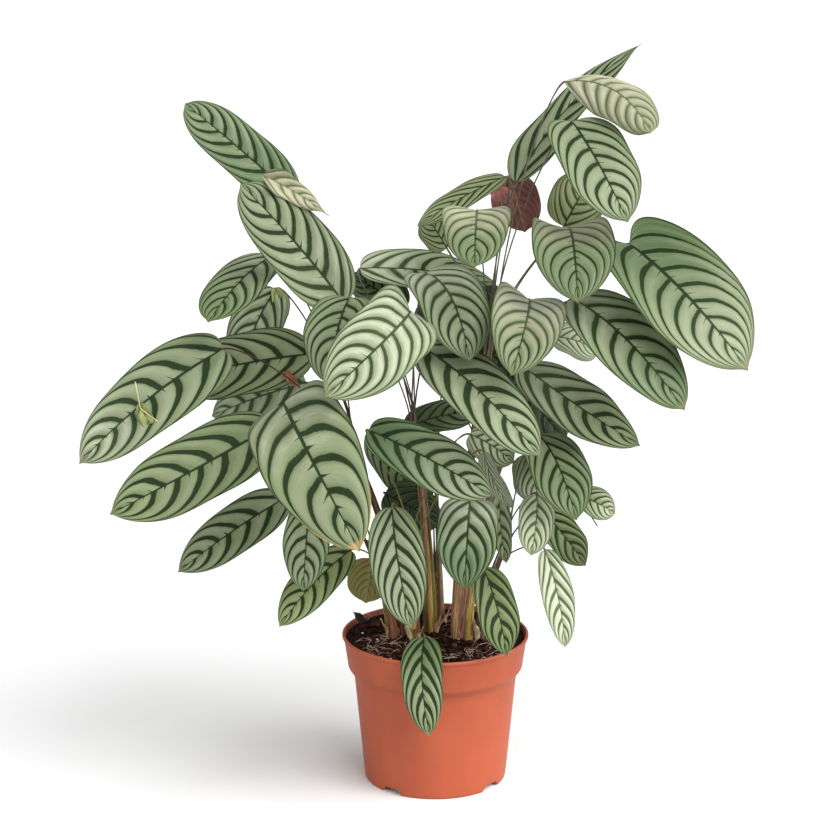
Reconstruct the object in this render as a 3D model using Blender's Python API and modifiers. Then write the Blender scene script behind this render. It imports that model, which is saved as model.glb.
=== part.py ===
"""Potted ctenanthe: a plastic nursery pot, its potting mix, eight shoots and fifty leaves. Metres, +Z up.

The origin is on the pot's axis, at the flat base that the pot stands on. The plant's best side faces -Y.
"""

import math

import bmesh
import bpy
import numpy as np
from mathutils import Vector

MM = 0.001
OBJECT_NAME = "potted_ctenanthe"

# Pot, in millimetres
RIM_RADIUS = 85.0
POT_HEIGHT = 137.0
LIP_WIDTH = 2.4
LIP_DROP = 2.6
LIP_EDGE = 0.9
NECK_RADIUS = 83.0
COLLAR_HEIGHT = 30.0
COLLAR_FOOT_RADIUS = 79.6
CHAMFER_HEIGHT = 7.5
WALL_TOP_RADIUS = 74.3
BASE_RADIUS = 64.8
EASE = 1.0
WALL = 1.8
FLOOR_TOP = 6.5
FOOT_RECESS = 3.5
CENTRE_DISC_RADIUS = 30.0
FOOT_RING_INNER = 55.0
FOOT_BEVEL = 3.0
NOTCH_COUNT = 4
NOTCH_TURN = math.radians(52.0)
NOTCH_SIZE = (22.0, 20.0, 9.6)
DRAIN_RADIUS = 4.5
DRAIN_RING = 47.0
POT_STEPS = 48

# Potting mix
GAP = 0.3
SOIL_TOP = 133.0
SOIL_CROWN = 3.5
SOIL_STEPS = 48
CROWN_SHARES = (0.0, 0.3, 0.6, 0.8, 1.0)
SOCKET_DEPTH = 22.0

# Leaves and stems
BLADE_THICKNESS = 0.8
BLADE_ROWS = 8
BLADE_COLUMNS = 4
BLADE_LEAST_WIDTH = 1.2
PETIOLE_RADIUS = 1.1
PETIOLE_POINTS = 8
PETIOLE_LEAN = (0.15, 0.15, 0.55)
PETIOLE_ELBOW = 14.0
CANE_POINTS = 9
TUBE_RESOLUTION = 1

# Each shoot: where its cane leaves the mix (x, y), its fork (x, y, z), the cane's radius at the foot and
# at the fork, and its leaves. Each leaf: the foot of its blade, its tip, its width, how far its midrib
# bows up from a straight line and sways to its right, the way its upper side looks, how far its edges
# lift at the foot and at the tip as a share of its half width, and how pointed its tip is.
# Millimetres, chosen by hand.
SHOOTS = {
    "left_high": ((-30, 2), (-75, 30, 300), (4.2, 2.0), (
        ((-125, 30, 532), (-222, 60, 611), 46, 6, 0, (0.2, -1, 0.3), (0.0, -0.1), 0.5),
        ((-147, 45, 478), (-197, -45, 437), 54, 5, 1, (-0.2, -0.6, 1), (0.1, -0.1), 0.6),
        ((-146, 85, 439), (-177, 60, 369), 56, 8, 0, (-0.2, -0.8, 1), (0.1, -0.1), 0.6),
        ((-188, -10, 404), (-312, -45, 310), 63, 12, 3, (-0.1, -1, 0.5), (0.1, -0.1), 0.75),
        ((-111, 37, 389), (-236, 52, 361), 62, 8, 0, (0.1, -1, 0.7), (0.1, -0.1), 0.6),
        ((-119, 80, 352), (-205, 75, 322), 50, 6, 0, (0.0, -1, 0.7), (0.1, -0.1), 0.6),
    )),
    "left_low": ((-38, -6), (-62, 0, 225), (4.6, 2.2), (
        ((-145, -20, 336), (-282, -75, 272), 64, 10, -3, (0.0, -1, 0.5), (0.1, -0.1), 0.7),
        ((-136, 20, 259), (-231, -15, 200), 46, 8, 0, (-0.1, -1, 0.6), (0.1, -0.1), 0.8),
        ((-130, -100, 377), (-64, -240, 291), 84, 32, -4, (-0.6, -0.5, 1), (0.1, -0.15), 0.65),
        ((-111, -50, 275), (-115, -105, 212), 40, 8, 0, (0.0, -1, 0.7), (0.1, -0.1), 0.65),
        ((-76, -35, 226), (-136, -95, 176), 37, 8, 2, (0.0, -1, 0.7), (0.1, -0.1), 0.7),
    )),
    "centre": ((-4, 8), (-20, 25, 330), (5.0, 2.4), (
        ((-82, 10, 442), (-168, -15, 550), 61, 8, 1, (0.1, -1, 0.4), (0.1, -0.1), 0.55),
        ((-22, -74, 451), (-90, -178, 403), 67, 26, 0, (0.5, -1, 0.6), (0.35, -0.1), 0.55),
        ((-76, -15, 451), (-92, -75, 388), 58, 14, 0, (-0.1, -0.8, 1), (0.1, -0.1), 0.65),
        ((-9, -4, 471), (28, -91, 413), 63, 20, -2, (0.1, -0.6, 1), (0.2, -0.15), 0.65),
        ((-68, 60, 463), (56, 84, 442), 52, 8, 0, (0.0, -0.7, 1), (0.1, -0.1), 0.65),
        ((-28, 50, 316), (40, 55, 330), 40, 6, 0, (0.0, -0.6, 1), (0.1, -0.1), 0.65),
    )),
    "front": ((-19, -12), (-22, -10, 215), (5.2, 2.2), (
        ((-38, -95, 283), (-21, -140, 190), 47, 10, 3, (0.0, -1, 0.6), (0.1, -0.1), 0.75),
        ((-10, -58, 152), (-6, -118, 83), 37, 19, 2, (-0.15, -1, 0.7), (0.1, -0.2), 0.65),
        ((-58, -95, 352), (46, -115, 300), 49, 8, 0, (0.0, -1, 0.7), (0.1, -0.1), 0.6),
        ((30, -28, 331), (68, -34, 307), 36, 6, 0, (0.0, -1, 0.8), (0.1, -0.1), 0.65),
        ((42, -54, 321), (66, -62, 273), 32, 4, 0, (-1, -0.45, 0.3), (0.1, -0.1), 0.7),
    )),
    "right_high": ((20, -6), (50, 30, 400), (4.4, 2.2), (
        ((36, -10, 528), (31, -122, 500), 58, 14, 0, (0.0, -0.3, 1), (0.2, -0.15), 0.6),
        ((61, 30, 551), (-16, 10, 511), 36, 3, 0, (0.1, -0.3, 1), (0.1, -0.1), 0.7),
        ((66, 82, 543), (82, 97, 491), 44, 4, 0, (0.2, 1, 0.1), (0.0, -0.1), 0.6),
        ((72, 45, 544), (184, 100, 660), 45, 8, -7, (-1, -0.7, 0.3), (0.1, -0.1), 1.2),
        ((112, 20, 636), (180, -62, 604), 44, 10, -11, (-0.2, -0.6, 0.76), (-0.6, -0.5), 0.45),
        ((117, -16, 606), (159, -100, 535), 66, 12, 4, (0.1, -0.7, 1), (0.2, -0.15), 0.6),
        ((115, 55, 502), (140, 45, 552), 50, 6, 0, (0.0, -1, 0.4), (0.1, -0.1), 0.65),
        ((114, -20, 514), (117, -130, 472), 70, 20, 0, (0.0, -0.4, 1), (0.35, -0.15), 0.6),
        ((10, 40, 485), (-9, 45, 515), 32, 4, 0, (-0.1, -1, 0.5), (0.1, -0.1), 0.6),
    )),
    "right_mid": ((28, -10), (72, 10, 330), (3.8, 2.0), (
        ((168, -20, 500), (261, -110, 411), 99, 14, 4, (0.2, -0.8, 1), (0.3, -0.12), 0.65),
        ((120, -30, 453), (208, -120, 378), 68, 18, 3, (0.1, -0.8, 1), (0.2, -0.1), 0.6),
        ((81, -30, 453), (63, -130, 410), 62, 18, 0, (0.3, -0.6, 1), (0.35, -0.12), 0.65),
        ((78, -12, 388), (175, -72, 333), 52, 12, 8, (0.1, -0.9, 0.8), (0.1, -0.1), 0.7),
        ((106, 35, 405), (147, 40, 389), 40, 6, 0, (0.0, -0.8, 1), (0.1, -0.1), 0.65),
    )),
    "right_low": ((40, -6), (66, -10, 230), (4.4, 2.2), (
        ((-10, -50, 414), (86, -130, 340), 59, 16, 3, (0.1, -0.9, 1), (0.1, -0.1), 0.65),
        ((92, -30, 330), (120, -104, 276), 52, 12, 0, (0.1, -0.8, 1), (0.1, -0.1), 0.65),
        ((130, 20, 262), (164, 30, 241), 28, 4, 0, (0.0, -1, 0.5), (0.1, -0.1), 0.65),
        ((89, -50, 281), (83, -80, 236), 32, 8, 0, (0.2, -1, 0.6), (0.1, -0.1), 0.65),
        ((97, -10, 255), (134, -25, 209), 34, 6, 1, (0.3, -1, 0.4), (0.1, -0.1), 0.7),
        ((97, -40, 228), (115, -62, 145), 28, 6, -2, (0.1, -1, 0.3), (0.1, -0.1), 0.7),
        ((42, -60, 217), (62, -92, 148), 38, 8, 0, (0.3, -1, 0.5), (0.1, -0.15), 0.7),
        ((30, -55, 278), (24, -130, 222), 54, 18, 0, (0.0, -0.8, 1), (0.1, -0.1), 0.7),
        ((57, -35, 286), (62, -55, 221), 24, 4, 0, (-0.8, -1, 0.2), (0.1, -0.1), 0.65),
        ((84, 14, 302), (95, -6, 259), 38, 6, 0, (-0.3, -1, 0.4), (0.1, -0.1), 0.65),
    )),
    "back": ((4, 32), (0, 80, 260), (4.6, 2.2), (
        ((-58, 60, 188), (-65, 70, 143), 42, 4, 0, (0.0, 1, 0.3), (0.0, -0.1), 0.6),
        ((-46, 40, 257), (4, 40, 228), 44, 6, 0, (0.0, -1, 0.4), (0.1, -0.1), 0.65),
        ((10, 100, 395), (5, 205, 325), 72, 16, 0, (0.0, 0.8, 1), (0.1, -0.1), 0.65),
        ((-58, 60, 312), (-20, 54, 252), 38, 6, 0, (0.0, -1, 0.5), (0.1, -0.1), 0.65),
    )),
}

POT_COLOUR = (0.58, 0.115, 0.055)
SOIL_COLOUR = (0.022, 0.013, 0.008)
STEM_COLOUR = (0.22, 0.14, 0.07)
LEAF_COLOUR = (0.20, 0.30, 0.17)


def clear_scene():
    for scene_object in list(bpy.data.objects):
        bpy.data.objects.remove(scene_object)


def new_collection(name):
    collection = bpy.data.collections.new(name)
    bpy.context.scene.collection.children.link(collection)
    return collection


def plain_material(name, colour, roughness):
    material = bpy.data.materials.new(name)
    material.use_nodes = True
    shader = material.node_tree.nodes["Principled BSDF"]
    shader.inputs["Base Color"].default_value = (*colour, 1.0)
    shader.inputs["Roughness"].default_value = roughness
    shader.inputs["Metallic"].default_value = 0.0
    return material


def add_object(name, mesh, collection, material=None):
    scene_object = bpy.data.objects.new(name, mesh)
    collection.objects.link(scene_object)
    if material:
        mesh.materials.append(material)
    return scene_object


def as_cutter(scene_object):
    scene_object.hide_render = True
    scene_object.display_type = "WIRE"
    return scene_object


def unit(vector):
    return vector / np.linalg.norm(vector)


# ---------------------------------------------------------------- turned solids

def turned(name, profile, steps, collection, material=None):
    """A closed (radius, height) profile in millimetres, swept once round the Z axis."""
    mesh = bpy.data.meshes.new(name)
    points = [(radius * MM, 0.0, height * MM) for radius, height in profile]
    edges = [(index, index + 1) for index in range(len(points) - 1)]
    mesh.from_pydata(points, edges, [])
    solid = add_object(name, mesh, collection, material)
    screw = solid.modifiers.new("turn", "SCREW")
    screw.angle = math.tau
    screw.steps = steps
    screw.render_steps = steps
    screw.use_merge_vertices = True
    screw.merge_threshold = 0.00001
    return solid


def inner_profile():
    """The inside of the pot from its axis outwards and up to the lip."""
    shelf_z = POT_HEIGHT - COLLAR_HEIGHT + WALL / 2.0
    return [
        (0.0, FLOOR_TOP),
        (BASE_RADIUS - WALL - 2.0 * EASE, FLOOR_TOP),
        (BASE_RADIUS - WALL, FLOOR_TOP + 2.0 * EASE),
        (WALL_TOP_RADIUS - WALL, shelf_z - CHAMFER_HEIGHT),
        (COLLAR_FOOT_RADIUS - WALL, shelf_z),
        (RIM_RADIUS - LIP_WIDTH, POT_HEIGHT - LIP_EDGE),
    ]


def pot_profile():
    """The inside, then over the lip, down the collar and the wall, and in along the base."""
    shelf_z = POT_HEIGHT - COLLAR_HEIGHT
    return inner_profile() + [
        (RIM_RADIUS - LIP_WIDTH + LIP_EDGE, POT_HEIGHT),
        (RIM_RADIUS - LIP_EDGE, POT_HEIGHT),
        (RIM_RADIUS, POT_HEIGHT - LIP_EDGE),
        (RIM_RADIUS, POT_HEIGHT - LIP_DROP),
        (NECK_RADIUS, POT_HEIGHT - 2.0 * LIP_DROP),
        (COLLAR_FOOT_RADIUS, shelf_z + EASE),
        (COLLAR_FOOT_RADIUS - EASE, shelf_z - EASE / 2.0),
        (WALL_TOP_RADIUS + EASE / 2.0, shelf_z - CHAMFER_HEIGHT + EASE),
        (WALL_TOP_RADIUS, shelf_z - CHAMFER_HEIGHT - EASE),
        (BASE_RADIUS, FOOT_BEVEL + EASE),
        (BASE_RADIUS - EASE, FOOT_BEVEL / 3.0),
        (BASE_RADIUS - FOOT_BEVEL, 0.0),
        (FOOT_RING_INNER, 0.0),
        (FOOT_RING_INNER - 2.0 * EASE, FOOT_RECESS),
        (CENTRE_DISC_RADIUS + 2.0 * EASE, FOOT_RECESS),
        (CENTRE_DISC_RADIUS, 0.0),
        (0.0, 0.0),
    ]


def notch_cutter(index, cutters):
    """A block through the foot ring, and the drain hole beside it."""
    angle = NOTCH_TURN - math.pi / 2 + index * math.tau / NOTCH_COUNT
    out = Vector((math.cos(angle), math.sin(angle), 0.0))
    length, width, height = NOTCH_SIZE
    bpy.ops.mesh.primitive_cube_add(size=1.0, location=out * BASE_RADIUS * MM)
    block = bpy.context.object
    block.name = f"notch_cutter_{index}"
    block.scale = (length * MM, width * MM, height * MM)
    block.rotation_euler = (0.0, 0.0, angle)
    bpy.ops.mesh.primitive_cylinder_add(
        vertices=12, radius=DRAIN_RADIUS * MM, depth=4 * FLOOR_TOP * MM, location=out * DRAIN_RING * MM)
    drain = bpy.context.object
    drain.name = f"drain_cutter_{index}"
    for cutter in (block, drain):
        bpy.context.collection.objects.unlink(cutter)
        cutters.objects.link(cutter)
        as_cutter(cutter)
    return block, drain


def cut(solid, cutter):
    boolean = solid.modifiers.new(cutter.name, "BOOLEAN")
    boolean.operation = "DIFFERENCE"
    boolean.object = cutter


def make_pot(parts, cutters):
    pot = turned("pot", pot_profile(), POT_STEPS, parts, plain_material("pot_plastic", POT_COLOUR, 0.45))
    for index in range(NOTCH_COUNT):
        for cutter in notch_cutter(index, cutters):
            cut(pot, cutter)
    return pot


# ---------------------------------------------------------------- stems

def bend(start, middle, end, share):
    """A point on the quadratic curve from start to end that leans towards middle."""
    near, far = 1.0 - share, share
    return near * near * start + 2.0 * near * far * middle + far * far * end


def blade_middle(leaf):
    """The control point of the blade's midrib, and the way its upper side faces as a unit vector."""
    foot, tip = np.array(leaf[0], float), np.array(leaf[1], float)
    way = unit(tip - foot)
    facing = unit(np.array(leaf[5], float))
    up = unit(facing - np.dot(facing, way) * way)
    right = np.cross(way, up)
    return (foot + tip) / 2.0 + up * 2.0 * leaf[3] + right * 2.0 * leaf[4], up


def cane_point(shoot, share):
    """The cane rises straight out of the mix, then leans over to its fork."""
    (foot_x, foot_y), fork, _, _ = shoot
    start = np.array((foot_x, foot_y, SOIL_TOP - SOCKET_DEPTH))
    end = np.array(fork, float)
    middle = np.array((foot_x, foot_y, 0.55 * end[2] + 0.45 * start[2]))
    return bend(start, middle, end, share)


def petiole_points(shoot, leaf):
    """From the cane, at a height that suits the leaf, up and then out to the foot of the blade."""
    fork_height = shoot[1][2]
    target = np.array(leaf[0], float)
    share = min(0.97, max(0.3, 0.75 * (target[2] - SOIL_TOP) / (fork_height - SOIL_TOP)))
    start = cane_point(shoot, share)
    rise = start + (target - start) * np.array(PETIOLE_LEAN)
    heading = unit(blade_middle(leaf)[0] - target)
    stop = target - heading * (GAP + PETIOLE_RADIUS)
    elbow = stop - heading * PETIOLE_ELBOW
    shares = np.linspace(0.0, 1.0, PETIOLE_POINTS)
    return [(1.0 - share) * bend(start, rise, elbow, share) + share * bend(rise, elbow, stop, share)
            for share in shares]


def tube(name, points, radii, collection):
    """A capped tube along points, as a closed mesh object. Millimetres."""
    data = bpy.data.curves.new(name, "CURVE")
    data.dimensions = "3D"
    data.bevel_depth = MM
    data.bevel_resolution = TUBE_RESOLUTION
    data.use_fill_caps = True
    spline = data.splines.new("POLY")
    spline.points.add(len(points) - 1)
    for spline_point, point, radius in zip(spline.points, points, radii):
        spline_point.co = (*(point * MM), 1.0)
        spline_point.radius = radius
    curve = bpy.data.objects.new(name, data)
    collection.objects.link(curve)
    evaluated = curve.evaluated_get(bpy.context.evaluated_depsgraph_get())
    mesh = bpy.data.meshes.new_from_object(evaluated)
    bpy.data.objects.remove(curve)
    cage = bmesh.new()
    cage.from_mesh(mesh)
    bmesh.ops.remove_doubles(cage, verts=cage.verts, dist=0.000001)
    cage.to_mesh(mesh)
    cage.free()
    mesh.name = name
    return add_object(name, mesh, collection)


def cane_tube(name, shoot, extra, collection):
    """The shoot's cane, with its radius grown by extra, from its foot in the mix to its fork."""
    foot_radius, fork_radius = shoot[2]
    shares = [step / (CANE_POINTS - 1) for step in range(CANE_POINTS)]
    points = [cane_point(shoot, share) for share in shares]
    radii = [foot_radius + (fork_radius - foot_radius) * share + extra for share in shares]
    if extra:
        points[0] = points[0] - np.array((0.0, 0.0, extra))
    return tube(name, points, radii, collection)


def make_shoot(name, shoot, parts, cutters, material):
    cane = cane_tube(name, shoot, 0.0, parts)
    cane.data.materials.append(material)
    for number, leaf in enumerate(shoot[3], 1):
        points = petiole_points(shoot, leaf)
        radii = [PETIOLE_RADIUS * 1.25] + [PETIOLE_RADIUS] * (PETIOLE_POINTS - 1)
        petiole = as_cutter(tube(f"{name}_petiole_{number}", points, radii, cutters))
        join = cane.modifiers.new(petiole.name, "BOOLEAN")
        join.operation = "UNION"
        join.object = petiole
    return cane


# ---------------------------------------------------------------- potting mix

def make_soil(parts, cutters):
    """A turned block with a low crown that fills the pot, with a socket for each cane."""
    axis_point, *wall = [(max(0.0, radius - GAP), height + GAP) for radius, height in inner_profile()]
    radii, heights = zip(*wall)
    edge = np.interp(SOIL_TOP - SOIL_CROWN, heights, radii)
    crown = [(edge * share, SOIL_TOP - SOIL_CROWN * share**4) for share in CROWN_SHARES]
    below_lip = wall[:-1]
    profile = crown + below_lip[::-1] + [axis_point]
    soil = turned("soil", profile, SOIL_STEPS, parts, plain_material("potting_mix", SOIL_COLOUR, 0.95))
    for name, shoot in SHOOTS.items():
        cut(soil, as_cutter(cane_tube(f"socket_{name}", shoot, GAP, cutters)))
    return soil


# ---------------------------------------------------------------- leaves

def blade_outline(along, point):
    """Half width, from 0 to 1: an oblong with a blunt foot and a tip that is more pointed as point grows."""
    power = 0.48 + (point - 0.48) * np.clip((along - 0.3) / 0.5, 0.0, 1.0)
    return np.maximum(0.0, 1.0 - np.abs(2.0 * along**0.92 - 1.0) ** 2.5) ** power


def blade_point(leaf, along, across):
    """A point of the blade: along from foot to tip, across from the left edge, -1, to the right edge, 1."""
    width, (foot_lift, tip_lift), point = leaf[2], leaf[6], leaf[7]
    foot, tip = np.array(leaf[0], float), np.array(leaf[1], float)
    middle, up = blade_middle(leaf)
    heading = unit((1.0 - along) * (middle - foot) + along * (tip - middle))
    normal = unit(up - np.dot(up, heading) * heading)
    side = np.cross(heading, normal)
    half = max(width / 2.0 * blade_outline(along, point), BLADE_LEAST_WIDTH)
    lift = foot_lift + (tip_lift - foot_lift) * along
    return bend(foot, middle, tip, along) + side * across * half + normal * lift * half * across**2


def make_leaf(name, leaf, parts, material):
    """A flat grid moved onto the blade's surface, then given its thickness."""
    cage = bmesh.new()
    bmesh.ops.create_grid(cage, x_segments=BLADE_ROWS, y_segments=BLADE_COLUMNS, size=1.0)
    for vertex in cage.verts:
        along = 0.5 - 0.5 * math.cos(math.pi * (vertex.co.x + 1.0) / 2.0)
        vertex.co = Vector(blade_point(leaf, along, vertex.co.y) * MM)
    mesh = bpy.data.meshes.new(name)
    cage.to_mesh(mesh)
    cage.free()
    blade = add_object(name, mesh, parts, material)
    wall = blade.modifiers.new("thickness", "SOLIDIFY")
    wall.thickness = BLADE_THICKNESS * MM
    wall.offset = 0.0
    return blade


def main():
    clear_scene()
    parts = new_collection(OBJECT_NAME)
    cutters = new_collection("cutters")
    make_pot(parts, cutters)
    make_soil(parts, cutters)
    stem_material = plain_material("stem", STEM_COLOUR, 0.5)
    leaf_material = plain_material("leaf_blade", LEAF_COLOUR, 0.5)
    for name, shoot in SHOOTS.items():
        make_shoot(f"shoot_{name}", shoot, parts, cutters, stem_material)
        for number, leaf in enumerate(shoot[3], 1):
            make_leaf(f"leaf_{name}_{number}", leaf, parts, leaf_material)


main()
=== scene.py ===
"""Potted ctenanthe: banded leaves on thin stalks, sheathed shoots, potting mix and a moulded nursery pot.

The plant keeps the places of the solid frame: every blade, stalk, shoot and the pot is worked out again as
a finer surface in millimetres, in the frame's axes, and stands for the solid of the same name.
"""

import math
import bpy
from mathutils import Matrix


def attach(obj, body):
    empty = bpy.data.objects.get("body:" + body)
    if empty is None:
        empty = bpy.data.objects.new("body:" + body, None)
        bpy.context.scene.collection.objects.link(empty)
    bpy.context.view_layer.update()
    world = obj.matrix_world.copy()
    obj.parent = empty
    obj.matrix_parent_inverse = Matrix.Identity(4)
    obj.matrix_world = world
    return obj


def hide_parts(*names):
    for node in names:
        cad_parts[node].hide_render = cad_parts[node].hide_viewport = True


bl_info = {
    "name": "Potted ctenanthe",
    "version": (1, 0, 0),
    "blender": (4, 5, 0),
    "location": "View3D > Sidebar > Ctenanthe",
    "description": "Grows banded leaves, shoots, dry pieces, potting mix and a nursery pot around the solid frame",
    "category": "Object",
}

import bpy
import numpy as np

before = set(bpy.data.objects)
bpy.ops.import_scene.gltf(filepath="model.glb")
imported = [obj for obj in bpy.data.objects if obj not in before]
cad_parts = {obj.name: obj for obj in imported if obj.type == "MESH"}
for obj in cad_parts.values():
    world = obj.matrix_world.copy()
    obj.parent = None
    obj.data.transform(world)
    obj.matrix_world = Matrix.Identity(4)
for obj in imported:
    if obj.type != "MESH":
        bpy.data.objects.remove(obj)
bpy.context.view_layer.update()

MM = 0.001
GOLDEN_ANGLE = math.pi * (3.0 - math.sqrt(5.0))

# Pot and mix, in millimetres
RIM_RADIUS = 85.0
POT_HEIGHT = 137.0
WALL = 1.8
FLOOR_TOP = 6.5
BASE_RADIUS = 64.8
COLLAR_Z = 107.0
COLLAR_FOOT_RADIUS = 79.6
WALL_TOP_RADIUS = 74.3
FOOT_RING_INNER = 55.0
NOTCH_TURN = math.radians(52.0)
NOTCH_HALF_ANGLE = math.radians(8.6)
NOTCH_HEIGHT = 4.9
NOTCH_REACH = 11.0
NOTCH_COUNT = 4
DRAIN_RADIUS = 4.5
DRAIN_RING = 47.0
DRAIN_SIDES = 32
POT_SIDES = 192
SOIL_TOP = 133.0
SOIL_SIDES = 160
SOIL_EDGE = 81.0
SOCKET_DEPTH = 22.0

# Rows and sides of the tubes: a cane, a stalk where it climbs its cane and where it is free, and a twig
CANE_ROWS = 44
CANE_SIDES = 20
CLIMB_ROWS = 26
FREE_ROWS = 39
STALK_SIDES = 12
STALK_SMOOTHINGS = 6
TWIG_ROWS = 14
TWIG_SIDES = 8

# Rows and columns of the blades of loose pieces and of bracts, and the seeds of their random draws
LITTER_GRID = (36, 15)
BRACT_GRID = (20, 11)
LITTER_SEED = 70
BRACT_SEED = 90
BRACT_DRAWS = 31

# Lumps on the mix: how many, the seed, how far they keep from its edge, their smallest and largest
# sizes in millimetres, how flat they are, and how far they stand out as a share of their size
MIX_LUMPS = {
    "mix_crumbs": (620, 11, 5.5, 0.9, 3.4, 0.8, 0.25),
    "bark_chips": (90, 12, 8.5, 2.0, 5.0, 0.35, 0.2),
    "perlite_grains": (16, 13, 5.5, 0.8, 1.7, 0.9, 0.4),
}
FIBRE_COUNT = 110
FIBRE_SEED = 14
FIBRE_WIDTH_SEED = 15

# Lights: strength, then softness, tilt from straight down and turn in degrees
LIGHTS = {
    "soft_key": (3.05, 56.0, 49.0, 45.0),
    "soft_side": (1.4, 60.0, 66.0, 84.0),
    "low_fill": (1.25, 60.0, 80.0, -50.0),
}
# The camera's place in metres, its tilt up from straight down, its lens in millimetres; the floor's reach in metres
CAMERA_PLACE = (-0.014, -2.2, 0.895)
CAMERA_TILT = math.radians(75.76)
CAMERA_LENS = 108.9
FLOOR_REACH = 40.0

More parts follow.
